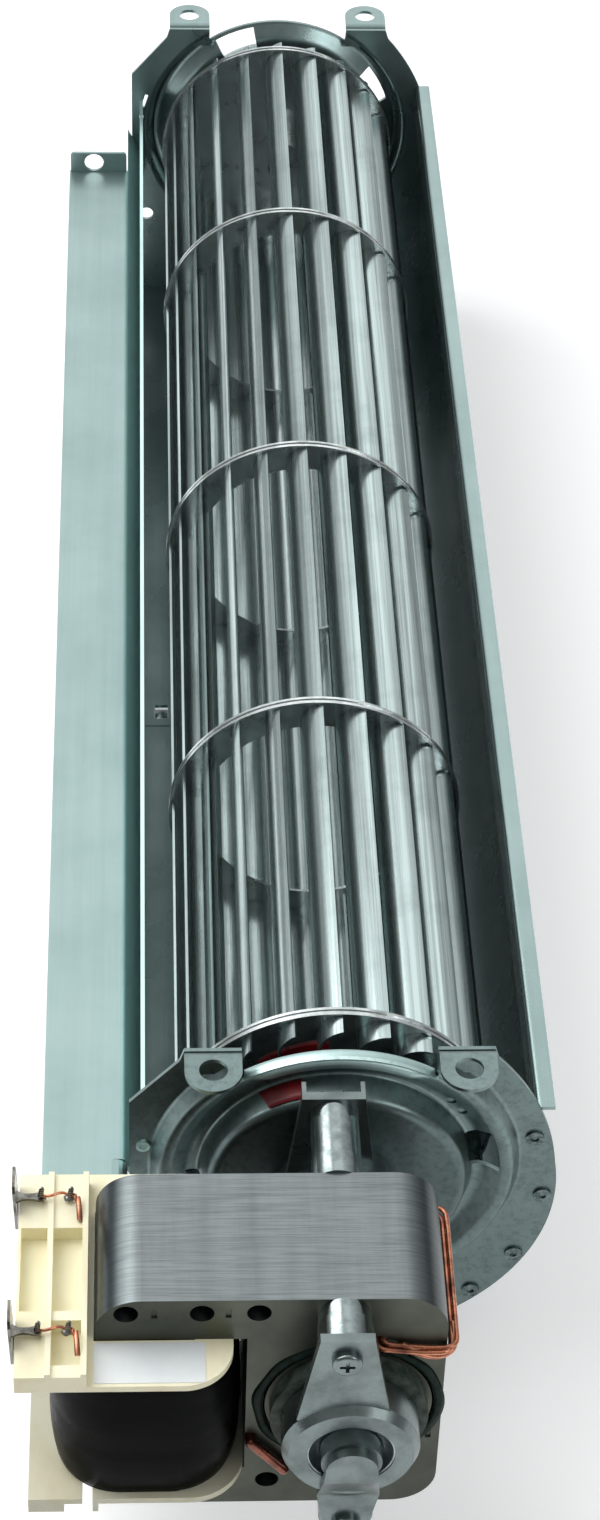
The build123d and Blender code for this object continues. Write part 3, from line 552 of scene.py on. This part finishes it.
finishes = {
    "end_plate_motor_side": zincPlateLitShaded,
    "end_plate_far_side": zincFarShaded,
    "scroll_sheet": zincScrollShaded,
    "tongue_sheet": zincTongueLit,
    "outlet_flange": zinc,
    "far_bearing_grommet": rubber,
    "far_bearing": bronze,
    "far_bearing_clip": plated,
    "stator_stack": lamination,
    "coil_core": lamination,
    "bobbin": cream,
    "coil_winding": tape,
    "terminal_block": cream,
    "spade_terminals": tinned,
    "rating_label": labelStock,
    "shading_ring_upper": copper,
    "shading_ring_lower": darkCopper,
    "front_bracket": plated,
    "rear_bracket": plated,
    "front_bearing": bronze,
    "rear_bearing": bronze,
    "front_spacers": ground,
    "rear_spacers": ground,
    "through_studs": plated,
    "stud_nuts": plated,
    "motor_shaft": ground,
    "rotor_core": lamination,
    "rotor_end_rings": endRingMetal,
    "thrust_collars": plated,
    "drive_hub": ringAluminium,
    "hub_set_screw": ground,
    "far_hub": ringAluminium,
    "stub_axle": ground,
    "end_disc_driven": ringAluminium,
    "end_disc_far": ringAluminium,
    "impeller_rings": ringAluminium,
    "impeller_blades": aluminium,
    "balance_mark": putty,
}
for name, finish in finishes.items():
    piece = nodes[name]
    piece.data.materials.clear()
    piece.data.materials.append(finish)
print("finishes given to the packed pieces")


# boxes that the pieces made here are set out from
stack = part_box("stator_stack")
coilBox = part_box("coil_winding")
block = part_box("terminal_block")
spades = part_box("spade_terminals")
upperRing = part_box("shading_ring_upper")
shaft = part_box("motor_shaft")
axisX, axisZ = 0.0, shaft[0][2] / 2 + shaft[1][2] / 2
plateFace = 0.0005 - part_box("scroll_sheet")[1][1]      # outer face of the plate by the motor


def finishPiece(piece, material, body="housing"):
    piece.data.materials.append(material)
    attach(piece, body)


def meshPiece(name, points, faces, smooth=True):
    mesh = bpy.data.meshes.new(name)
    mesh.from_pydata(points, [], faces)
    work = bmesh.new()
    work.from_mesh(mesh)
    bmesh.ops.recalc_face_normals(work, faces=work.faces)
    work.to_mesh(mesh)
    work.free()
    for face in mesh.polygons:
        face.use_smooth = smooth
    piece = bpy.data.objects.new(name, mesh)
    bpy.context.scene.collection.objects.link(piece)
    return piece


def gridFaces(rows, columns, closed=True):
    faces = []
    for row in range(rows - 1):
        for column in range(columns if closed else columns - 1):
            following = (column + 1) % columns
            faces.append((row * columns + column, row * columns + following,
                          (row + 1) * columns + following, (row + 1) * columns + column))
    return faces


# rings of points joined into a band, and the last ring back to the first
def bandFaces(rows, columns):
    faces = gridFaces(rows, columns)
    last = (rows - 1) * columns
    for column in range(columns):
        following = (column + 1) % columns
        faces.append((last + column, last + following, following, column))
    return faces


# two layers of the same grid, closed along the rim
def sheetFaces(rows, columns, start=0):
    grid = gridFaces(rows, columns, closed=False)
    layer = rows * columns
    rim = list(range(columns))
    rim += [row * columns + columns - 1 for row in range(1, rows)]
    rim += [(rows - 1) * columns + column for column in range(columns - 2, -1, -1)]
    rim += [row * columns for row in range(rows - 2, 0, -1)]
    faces = grid + [tuple(spot + layer for spot in face) for face in grid]
    for index, spot in enumerate(rim):
        following = rim[(index + 1) % len(rim)]
        faces.append((spot, following, following + layer, spot + layer))
    return [tuple(spot + start for spot in face) for face in faces]


def bentWire(name, points, radius, closed=False):
    curve = bpy.data.curves.new(name, "CURVE")
    curve.dimensions = "3D"
    curve.bevel_depth = radius
    curve.bevel_resolution = 3
    curve.resolution_u = 8
    curve.use_fill_caps = True
    spline = curve.splines.new("NURBS")
    spline.points.add(len(points) - 1)
    for spot, point in zip(spline.points, points):
        spot.co = (*point, 1)
    spline.order_u = 3
    spline.use_endpoint_u = not closed
    spline.use_cyclic_u = closed
    piece = bpy.data.objects.new(name, curve)
    bpy.context.scene.collection.objects.link(piece)
    return piece


# tape wound over the coil: crowned between the two plates, hollow to the core
coilTape = {
    "corner": 0.0125,
    "cornerSteps": 14,
    "crown": 0.0005,
    "pull": 0.0007,                # pulled in at both edges
    "wave": 0.00006,
    "waveTurns": 3.0,
    "band": 0.00007,               # height of one turn over the next
    "bandPitch": 19.0,
    "bandFrom": 0.2,
    "hollow": (0.66, 0.70),        # share of the width left open
    "rows": 26,
    "seed": 4,
}


def roundedOutline(low, high, corner, steps):
    spots = []
    left, right = low[0] + corner, high[0] - corner
    front, back = low[1] + corner, high[1] - corner
    centres = ((right, back, 0), (left, back, 90), (left, front, 180), (right, front, 270))
    for centreX, centreY, start in centres:
        for step in range(steps + 1):
            spots.append((centreX, centreY, math.radians(start + 90 * step / steps)))
    return spots


def makeCoilTape(setup):
    low, high = coilBox
    outline = roundedOutline(low, high, setup["corner"], setup["cornerSteps"])
    rng = random.Random(setup["seed"])
    waves = [rng.uniform(-1, 1) for _ in outline]
    rows, columns, turns = setup["rows"], len(outline), setup["waveTurns"]
    points = []
    for row in range(rows):
        share = row / (rows - 1)
        height = low[2] + (high[2] - low[2]) * share
        edge = abs(2 * share - 1)
        inset = setup["pull"] * edge ** 6 + setup["crown"] * edge ** 2
        for index, (x, y, angle) in enumerate(outline):
            wave = setup["wave"] * waves[index] * math.sin(turns * share + waves[index - 1])
            raised = math.sin(share * setup["bandPitch"] + math.cos(angle)) > setup["bandFrom"]
            reach = setup["corner"] - inset + min(wave, 0) - setup["band"] * (1 + raised)
            points.append((x + reach * math.cos(angle), y + reach * math.sin(angle), height))
    middleX, middleY = (low[0] + high[0]) / 2, (low[1] + high[1]) / 2
    openX, openY = setup["hollow"]
    for row in (0, rows - 1):
        for x, y, height in points[row * columns:(row + 1) * columns]:
            points.append((middleX + (x - middleX) * openX,
                           middleY + (y - middleY) * openY, height))
    faces = gridFaces(rows, columns)
    lowRing = rows * columns
    highRing = lowRing + columns
    for first, second in ((0, lowRing), (lowRing - columns, highRing), (lowRing, highRing)):
        for column in range(columns):
            following = (column + 1) % columns
            faces.append((first + column, first + following, second + following, second + column))
    piece = meshPiece("coilTape", points, faces)
    finishPiece(piece, tape)
    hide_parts("coil_winding")


makeCoilTape(coilTape)
print("coil tape wound")


# copper shading ring above the bore: two strands side by side, joined in a heavier
# loop that hangs in front; both paths run between the edges of the ring's box
shadingWire = {
    "strand": 0.00048,
    "inset": 0.001,
    "lift": 0.0004,
    "spacing": (0.9, 0.3),         # of the strands: share kept round the ring, and upwards
    "round": 0.0046,
    "droop": 0.0012,
    # share across, rounds across, share back, rounds back, share of the droop, lift
    "ringPath": (
        (0, 0, 0, 1, 0, 0.0001), (0, 0, 0, 0, 0, 0), (0.25, 0, 0, 0, 0.5, 0),
        (0.62, 0, 0, 0, 1, 0), (1, -1, 0, 0, 1, 0), (1, 0, 0, 0, 1, 0),
        (1, 0, 0, 1, 1, 0.0002), (1, 0, 0.5, 0, 1, 0.0003), (1, 0, 1, -1, 1, 0.0004),
        (1, 0, 1, 0, 1, 0.0004), (1, -1, 1, 0, 0, -0.0004), (0, 1, 1, 0, 0, 0),
        (0, 0, 1, 0, 0, 0), (0, 0, 1, -1, 0, 0), (0, 0, 0.5, 0, 0, 0),
    ),
    "loopStrand": 0.00062,
    "loopSag": 0.0011,
    "loopShift": (-0.0004, 0.0003, -0.0006),
    # share across, shift across, shift back, share of the sag, lift
    "loopPath": (
        (0.30, 0, 0.0006, 0, 0.0009), (0.50, 0, -0.0002, 0.2, 0), (0.72, 0, -0.0003, 1, 0),
        (1, -0.0020, -0.0003, 0.9, 0), (1, -0.0002, 0.0006, 0.5, 0),
        (1, 0.0001, 0.0030, 0.1, 0), (1, -0.0001, 0.0058, 0, 0.0002),
    ),
}


def layCopper(name, points, radius, closed=False):
    piece = bentWire(name, points, radius, closed)
    finishPiece(piece, copper)
    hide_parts("shading_ring_upper")


def makeShadingWire(setup):
    low, high = upperRing
    left, right = low[0] + setup["inset"], high[0] - setup["inset"]
    front, back = low[1] + setup["inset"], high[1] - setup["inset"]
    top = (low[2] + high[2]) / 2 + setup["lift"]
    corner, drop, sag = setup["round"], setup["droop"], setup["loopSag"]
    across, up = setup["spacing"]
    for number, side in ((1, -1), (2, 1)):
        offset = setup["strand"] * side
        near, far = left + offset, right + offset * across
        points = []
        for along, turnX, inward, turnY, fall, lift in setup["ringPath"]:
            points.append((near + along * (far - near) + turnX * corner,
                           front + offset * across + inward * (back - front) + turnY * corner,
                           top + offset * up - fall * drop + lift))
        layCopper("shadingStrand" + str(number), points, setup["strand"], closed=True)
    points = [(left + along * (right - left) + shiftX, front + shiftY,
               top - drop - fall * sag + lift)
              for along, shiftX, shiftY, fall, lift in setup["loopPath"]]
    layCopper("shadingLoop1", points, setup["loopStrand"])
    moved = [tuple(a + b for a, b in zip(point, setup["loopShift"])) for point in points]
    layCopper("shadingLoop2", moved, setup["loopStrand"])


makeShadingWire(shadingWire)
print("shading wire laid")


# coil leads: two twisted, soldered posts beside each spade, a thin wire from post to
# post and on to the block's right edge, and a bundle bent down there towards the coil
leads = {
    "wire": 0.00027,
    "postHeight": 0.0024,
    "postX": (0.0036, 0.0088),     # from the block's left edge
    "postTwist": 2.3,
    "postSteps": 18,
    "postSpread": 0.00034,
    "postLean": 0.0004,
    "postNarrowing": 0.35,
    "seatShift": (0.0363, 0.0065), # spade feet, from the spades' front edge
    "edgeInset": 0.0009,
    # from the first post, the second post or the right edge: across, back, up
    "wirePath": (
        (0, 0, 0, 0.0005), (0, 0.0016, -0.0008, 0.0011), (1, -0.0014, 0.0006, 0.0009),
        (1, 0, 0, 0.0006), (1, 0.0012, -0.0003, 0.0012),
        (2, -0.0016, -0.0010, 0.0010), (2, -0.0010, -0.0016, 0.0006),
    ),
    "bundle": 0.00050,
    "bundlePath": (
        (2, -0.0010, -0.0006, 0.0006), (2, -0.0008, -0.0020, 0.0006),
        (2, -0.0007, -0.0038, 0.0004), (2, -0.0006, -0.0050, -0.0003),
    ),
}
solderDrops = {
    "size": 0.00085,
    "sink": 0.0001,
    "foot": 1.25,
    "narrowing": 0.35,
    "roundness": 2.2,
    "lumps": 0.10,
    "squash": 0.85,
    "rows": 9,
    "columns": 16,
}


def twistedPost(name, x, y, z, setup):
    for number, halfTurn in ((1, 0), (2, math.pi)):
        points = []
        for step in range(setup["postSteps"] + 1):
            share = step / setup["postSteps"]
            angle = 2 * math.pi * setup["postTwist"] * share + halfTurn
            spread = setup["postSpread"] * (1 - setup["postNarrowing"] * share)
            points.append((x + spread * math.cos(angle) + setup["postLean"] * share,
                           y + spread * math.sin(angle), z + setup["postHeight"] * share))
        piece = bentWire(name + "Strand" + str(number), points, setup["wire"])
        finishPiece(piece, tinned)


def solderDrop(name, x, y, z, setup, seed):
    rng = random.Random(seed)
    rows, columns, squash = setup["rows"], setup["columns"], setup["squash"]
    bumps = [rng.uniform(-1, 1) for _ in range(columns)]
    points = []
    for row in range(rows):
        share = row / (rows - 1)
        dome = math.sqrt(max(0.02, 1 - share ** setup["roundness"]))
        reach = setup["size"] * (setup["foot"] - setup["narrowing"] * share) * dome
        for column in range(columns):
            angle = 2 * math.pi * column / columns
            wide = reach * (1 + setup["lumps"] * bumps[column] * (1 - share))
            points.append((x + wide * math.cos(angle), y + squash * wide * math.sin(angle),
                           z - setup["sink"] + squash * setup["size"] * share))
    faces = gridFaces(rows, columns)
    faces.append(tuple(range(columns)))
    faces.append(tuple((rows - 1) * columns + column for column in range(columns)))
    finishPiece(meshPiece(name, points, faces), solder)


def makeLeads(setup):
    top = block[1][2]
    posts = [block[0][0] + along for along in setup["postX"]]
    starts = posts + [block[1][0] - setup["edgeInset"]]
    for index, shift in enumerate(setup["seatShift"]):
        lead = "lead" + str(index + 1)
        y = spades[0][1] + shift
        for number, x in enumerate(posts):
            post = lead + "Post" + str(number + 1)
            twistedPost(post, x, y, top, setup)
            solderDrop(post + "Solder", x, y, top, solderDrops, 7 * index + number + 2)
        for ending, kind in (("Bundle", "bundle"), ("Wire", "wire")):
            points = [(starts[spot] + across, y + back, top + up)
                      for spot, across, back, up in setup[kind + "Path"]]
            finishPiece(bentWire(lead + ending, points, setup[kind]), copper)


makeLeads(leads)
print("leads twisted")


# spade terminals: leaning tabs with an eye, each on a narrow foot
spadeTab = {
    "length": 0.0064,
    "height": 0.0112,
    "eyeUp": 0.0032,
    "eyeRadius": (0.0019, 0.0016),
    "squareness": 7,
    "lean": 0.0004,
    "baseX": -0.0576,
    "baseZ": -0.0155,
    "thickness": 0.0005,
    "footStart": -0.0579,
    "footEnd": -0.0531,
    "footWidth": (0.0026, 0.0015, 0.0012, 0.0013, 0.0018, 0.0015),
    "footTop": -0.00965,
    "columns": 44,
}


def makeSpade(name, y, setup):
    columns = setup["columns"]
    half, below = setup["length"] / 2, setup["eyeUp"]
    above = setup["height"] - below
    eyeWide, eyeHigh = setup["eyeRadius"]
    square = setup["squareness"]
    eye, outer = [], []
    for column in range(columns):
        angle = 2 * math.pi * column / columns
        across, up = math.cos(angle), math.sin(angle)
        eye.append((eyeWide * across, eyeHigh * up))
        limit = above if up > 0 else below
        reach = (abs(across / half) ** square + abs(up / limit) ** square) ** (-1 / square)
        outer.append((reach * across, reach * up))
    points = []
    for ring, layer in ((eye, 0), (outer, 0), (outer, 1), (eye, 1)):
        for across, up in ring:
            rise = (below + up) / setup["height"]
            points.append((setup["baseX"] - setup["lean"] * rise - setup["thickness"] * layer,
                           y + across, setup["baseZ"] + setup["height"] * rise))
    faces = bandFaces(4, columns)
    foot = len(points)
    widths = setup["footWidth"]
    rows = len(widths)
    for layer in (0, 1):
        for index, width in enumerate(widths):
            share = index / (rows - 1)
            x = setup["footStart"] + (setup["footEnd"] - setup["footStart"]) * share
            z = setup["footTop"] - setup["thickness"] * layer
            points += [(x, y - width / 2, z), (x, y + width / 2, z)]
    faces += sheetFaces(rows, 2, foot)
    piece = meshPiece(name, points, faces, smooth=False)
    finishPiece(piece, tinned)
    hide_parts("spade_terminals")


for name, shift in zip(("spadeBack", "spadeFront"), leads["seatShift"]):
    makeSpade(name, spades[0][1] + shift, spadeTab)
print("spades bent")


# green lacquer squeezed out round the bore, on the stack's front face
lacquerRing = {
    "inner": 0.01502,
    "outer": 0.0168,
    "height": 0.00055,
    "ripple": 0.0007,
    "rippleRise": 0.4,
    "waves": 6,
    # share across and share of the height
    "profile": ((0.0, 0.00002), (0.06, 0.75), (0.35, 1.0), (0.72, 0.62), (1.0, 0.00002)),
    "columns": 160,
    "seed": 12,
}


def makeLacquerRing(setup):
    rng = random.Random(setup["seed"])
    count, columns = setup["waves"], setup["columns"]
    phases = [(rng.randint(3, 17), rng.uniform(0, 6.28), rng.uniform(0.2, 1.0))
              for _ in range(count)]
    front = stack[0][1]
    points = []
    for share, lift in setup["profile"]:
        for column in range(columns):
            angle = 2 * math.pi * column / columns
            ripple = sum(w * math.sin(n * angle + phase) for n, phase, w in phases) / count
            outer = setup["outer"] + setup["ripple"] * ripple
            radius = setup["inner"] + (outer - setup["inner"]) * share
            rise = setup["height"] * lift * (1 + setup["rippleRise"] * ripple)
            points.append((axisX + radius * math.cos(angle), front - rise,
                           axisZ + radius * math.sin(angle)))
    faces = bandFaces(len(setup["profile"]), columns)
    finishPiece(meshPiece("boreLacquer", points, faces), lacquer)


makeLacquerRing(lacquerRing)
print("lacquer ring made")


# red inspection paint on the raised dome of the plate at the motor end
paintMark = {
    "angles": (105.6, 125.0),
    "profile": ((0.02535, -0.0012), (0.02495, -0.0024), (0.0245, -0.0038), (0.02415, -0.0050)),
    "clear": 0.00022,              # off the dome
    "thickness": 0.00010,
    "ragged": 0.25,
    "slant": 1.2,
    "columns": 26,
    "seed": 3,
}


def makePaintMark(setup):
    rng = random.Random(setup["seed"])
    first, last = setup["angles"]
    rows, columns = len(setup["profile"]), setup["columns"]
    points = []
    for layer in (0, 1):
        for row, (radius, depth) in enumerate(setup["profile"]):
            reach = radius + setup["clear"] + setup["thickness"] * layer
            for column in range(columns):
                share = column / (columns - 1)
                turn = first + (last - first) * share - setup["slant"] * row * share
                if layer and column in (0, columns - 1):
                    turn += rng.uniform(-setup["ragged"], setup["ragged"])
                angle = math.radians(turn)
                points.append((axisX + reach * math.cos(angle), plateFace + depth,
                               axisZ + reach * math.sin(angle)))
    faces = sheetFaces(rows, columns)
    finishPiece(meshPiece("inspectionPaint", points, faces), putty)


makePaintMark(paintMark)
print("paint mark added")


# the bead's round crest between the two ears of the plate by the motor, in mm
plateRoll = {
    "angles": (56.5, 123.5),
    "fade": 9.0,                   # degrees over which it sinks into the bead
    "profile": (                   # radius and height above the plate
        (31.46, 0.5), (31.48, 1.5), (31.34, 2.35), (31.0, 2.95), (30.5, 3.3), (29.9, 3.35),
        (29.3, 3.1), (28.7, 2.5), (28.2, 1.75), (27.75, 1.1), (27.4, 0.6),
    ),
    "beadCrestHighlight": (31.1, 3.0),      # radius and height of the pressed bead below
    "beadFoot": (27.4, 0.5),
    "under": 0.1,
    "headroom": 0.4,
    "wallFrom": 31.2,
    "thickness": 0.22,
    "columns": 90,
}


def makePlateRoll(setup):
    first, last = setup["angles"]
    crestRadius, crestHeight = setup["beadCrestHighlight"]
    footRadius, footHeight = setup["beadFoot"]
    rows, columns = len(setup["profile"]), setup["columns"]
    points = []
    for layer in (0, 1):
        skin = setup["thickness"] * layer
        for radius, height in setup["profile"]:
            along = min(1.0, max(0.0, (radius - footRadius) / (crestRadius - footRadius)))
            pressed = footHeight + (crestHeight - footHeight) * along - setup["under"]
            reach = (radius - skin * (radius > setup["wallFrom"])) / 1000
            for column in range(columns):
                angle = first + (last - first) * column / (columns - 1)
                near = min(1.0, min(angle - first, last - angle) / setup["fade"])
                fade = near ** 2 * (3 - 2 * near)
                lifted = pressed + (height - pressed) * fade if radius < crestRadius else height
                depth = min(lifted, crestHeight + setup["headroom"]) - skin
                points.append((axisX + reach * math.cos(math.radians(angle)),
                               plateFace - depth / 1000,
                               axisZ + reach * math.sin(math.radians(angle))))
    faces = sheetFaces(rows, columns)
    # the crest wears the lighter copy of the sheet, as a painted highlight
    finishPiece(meshPiece("plateRoll", points, faces), zincRollHighlight)


makePlateRoll(plateRoll)
print("bead's crest rounded")


# pressed cone between the bracket's cup and the bearing's nose
cupCone = {
    "faceBack": 0.0035,            # cup's face behind the strap's front
    "profile": (                   # radius and depth, in mm
        (7.60, 0.10), (7.25, 0.42), (6.75, 0.95), (6.2, 1.45), (5.75, 1.8), (5.34, 1.95),
    ),
    "thickness": 0.25,             # in mm, and so is the flare
    "flare": 0.05,
    "columns": 72,
}


def makeCupCone(setup):
    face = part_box("front_bracket")[0][1] + setup["faceBack"]
    profile = list(setup["profile"])
    profile += [(radius + setup["flare"], depth + setup["thickness"])
                for radius, depth in reversed(profile)]
    columns = setup["columns"]
    points = []
    for radius, depth in profile:
        for column in range(columns):
            angle = 2 * math.pi * column / columns
            points.append((axisX + radius / 1000 * math.cos(angle), face + depth / 1000,
                           axisZ + radius / 1000 * math.sin(angle)))
    faces = bandFaces(len(profile), columns)
    finishPiece(meshPiece("cupCone", points, faces), coneMetalLit)


makeCupCone(cupCone)
print("cup's cone pressed")


# small tongue lanced down out of the slot in the floor sheet
slotTongue = {
    "place": (-0.0313, 0.0022),    # middle of the slot
    "size": (0.0030, 0.0046),
    "topRise": 0.0005,             # its root above the floor sheet's underside
    "drop": 0.0011,
    "bend": 1.6,
    "thickness": 0.0005,
    "rows": 8,
}


def makeSlotTongue(setup):
    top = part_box("scroll_sheet")[0][2] + setup["topRise"]
    x, y = setup["place"]
    wide, long = setup["size"]
    rows = setup["rows"]
    points = []
    for layer in (0, 1):
        for row in range(rows):
            share = row / (rows - 1)
            z = top - setup["drop"] * share ** setup["bend"] - layer * setup["thickness"]
            for side in (-1, 1):
                points.append((x + side * wide / 2, y + long * (share - 0.5), z))
    faces = sheetFaces(rows, 2)
    finishPiece(meshPiece("slotTongue", points, faces), zincPlateLitShaded)


makeSlotTongue(slotTongue)
print("slot tongue made")


# the flange runs on a little past the plate, towards the motor
flangeEnd = {
    "length": 0.0090,
    "top": -0.0305,
    "sheet": 0.0008,
    "stations": (0.0, 0.35, 0.7, 1.0),
    "across": (-0.0544, -0.0470, -0.0415, -0.0402, -0.0395, -0.0390, -0.0386),
    "sink": (0.0, 0.0, 0.0, 0.0001, 0.0004, 0.0009, 0.0016),
}


def makeFlangeEnd(setup):
    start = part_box("outlet_flange")[0][1]
    points = []
    for layer in (0, 1):
        for share in setup["stations"]:
            for x, sink in zip(setup["across"], setup["sink"]):
                points.append((x, start - setup["length"] * share,
                               setup["top"] - sink - setup["sheet"] * layer))
    faces = sheetFaces(len(setup["stations"]), len(setup["across"]))
    piece = meshPiece("flangeEnd", points, faces, smooth=False)
    finishPiece(piece, zinc)


makeFlangeEnd(flangeEnd)
print("flange end added")


# room: pale floor, soft lamps
room = {
    "floorHalf": 2.2,
    "floorColour": (0.80, 0.80, 0.81),
    "floorGlow": 0.36,
    "worldStrength": 0.80,
    "worldDark": 0.16,             # share of light left low at the sides and in front
    "backLean": 0.8,
    "sideFall": -0.7,
    "fullFrom": 0.95,
    "keyPower": 15.5,
    "keySize": 1.35,
    "keyPlace": (-0.75, 0.15, 0.85),
    "fillPower": 1.6,
    "fillSize": 0.35,
    "fillPlace": (0.55, -0.65, 0.45),
    "backPower": 0.9,
    "backSize": 0.9,
    "backPlace": (0.10, 0.95, 0.85),
}


# 1 where light goes to the eye, a mirror or a clear part
def backgroundShare(tree):
    path = tree.nodes.new("ShaderNodeLightPath")
    total = path.outputs["Is Camera Ray"]
    for name in ("Is Glossy Ray", "Is Transmission Ray"):
        total = numberMaths(tree, "MAXIMUM", total, path.outputs[name])
    return total


def makeWorld(setup):
    world = bpy.data.worlds.new("room")
    world.use_nodes = True
    tree = world.node_tree
    back = tree.nodes["Background"]
    back.inputs["Color"].default_value = (1, 1, 1, 1)
    sky = tree.nodes.new("ShaderNodeTexCoord")
    way = splitAxes(tree, sky.outputs["Generated"])
    lean = numberMaths(tree, "MULTIPLY_ADD", way["Y"], setup["backLean"], way["Z"])
    aside = numberMaths(tree, "ABSOLUTE", way["X"])
    slant = numberMaths(tree, "MULTIPLY_ADD", aside, setup["sideFall"], lean)
    shade = valueRange(tree, slant, setup["worldDark"], 1.0, 0.0, setup["fullFrom"])
    level = valueRange(tree, backgroundShare(tree), setup["worldStrength"], 1.0, 0.0, 1.0)
    strength = numberMaths(tree, "MULTIPLY", shade, level)
    path = tree.nodes.new("ShaderNodeLightPath")     # seen directly, the room is white
    seen = numberMaths(tree, "MAXIMUM", strength, path.outputs["Is Camera Ray"])
    tree.links.new(seen, back.inputs["Strength"])
    bpy.context.scene.world = world


def makeFloor(setup, height):
    mesh = bpy.data.meshes.new("floor")
    half = setup["floorHalf"]
    corners = [(x * half, y * half, height) for x, y in ((-1, -1), (1, -1), (1, 1), (-1, 1))]
    mesh.from_pydata(corners, [], [(0, 1, 2, 3)])
    floor = bpy.data.objects.new("floor", mesh)
    bpy.context.scene.collection.objects.link(floor)
    material, tree, shader, _ = startMaterial("paleFloor")
    shader.inputs["Base Color"].default_value = (*setup["floorColour"], 1)
    shader.inputs["Roughness"].default_value = 0.9
    shader.inputs["Specular IOR Level"].default_value = 0.1
    shader.inputs["Emission Color"].default_value = (1, 1, 1, 1)
    glow = valueRange(tree, backgroundShare(tree), 0.0, setup["floorGlow"], 0.0, 1.0)
    tree.links.new(glow, shader.inputs["Emission Strength"])
    mesh.materials.append(material)


def makeLamp(name, power, size, place, target):
    data = bpy.data.lights.new(name, "AREA")
    data.shape = "DISK"
    data.energy = power
    data.size = size
    lamp = bpy.data.objects.new(name, data)
    lamp.location = place
    lamp.rotation_euler = (Vector(target) - Vector(place)).to_track_quat("-Z", "Y").to_euler()
    bpy.context.scene.collection.objects.link(lamp)


makeWorld(room)
makeFloor(room, cadBox[0][2])
makeLamp("keyLamp", room["keyPower"], room["keySize"], room["keyPlace"], (0, -0.05, -0.04))
makeLamp("backLamp", room["backPower"], room["backSize"], room["backPlace"], (0, 0, -0.03))
makeLamp("fillLamp", room["fillPower"], room["fillSize"], room["fillPlace"], (0, -0.15, -0.04))
bpy.context.scene.view_settings.view_transform = "Standard"
print("room made")
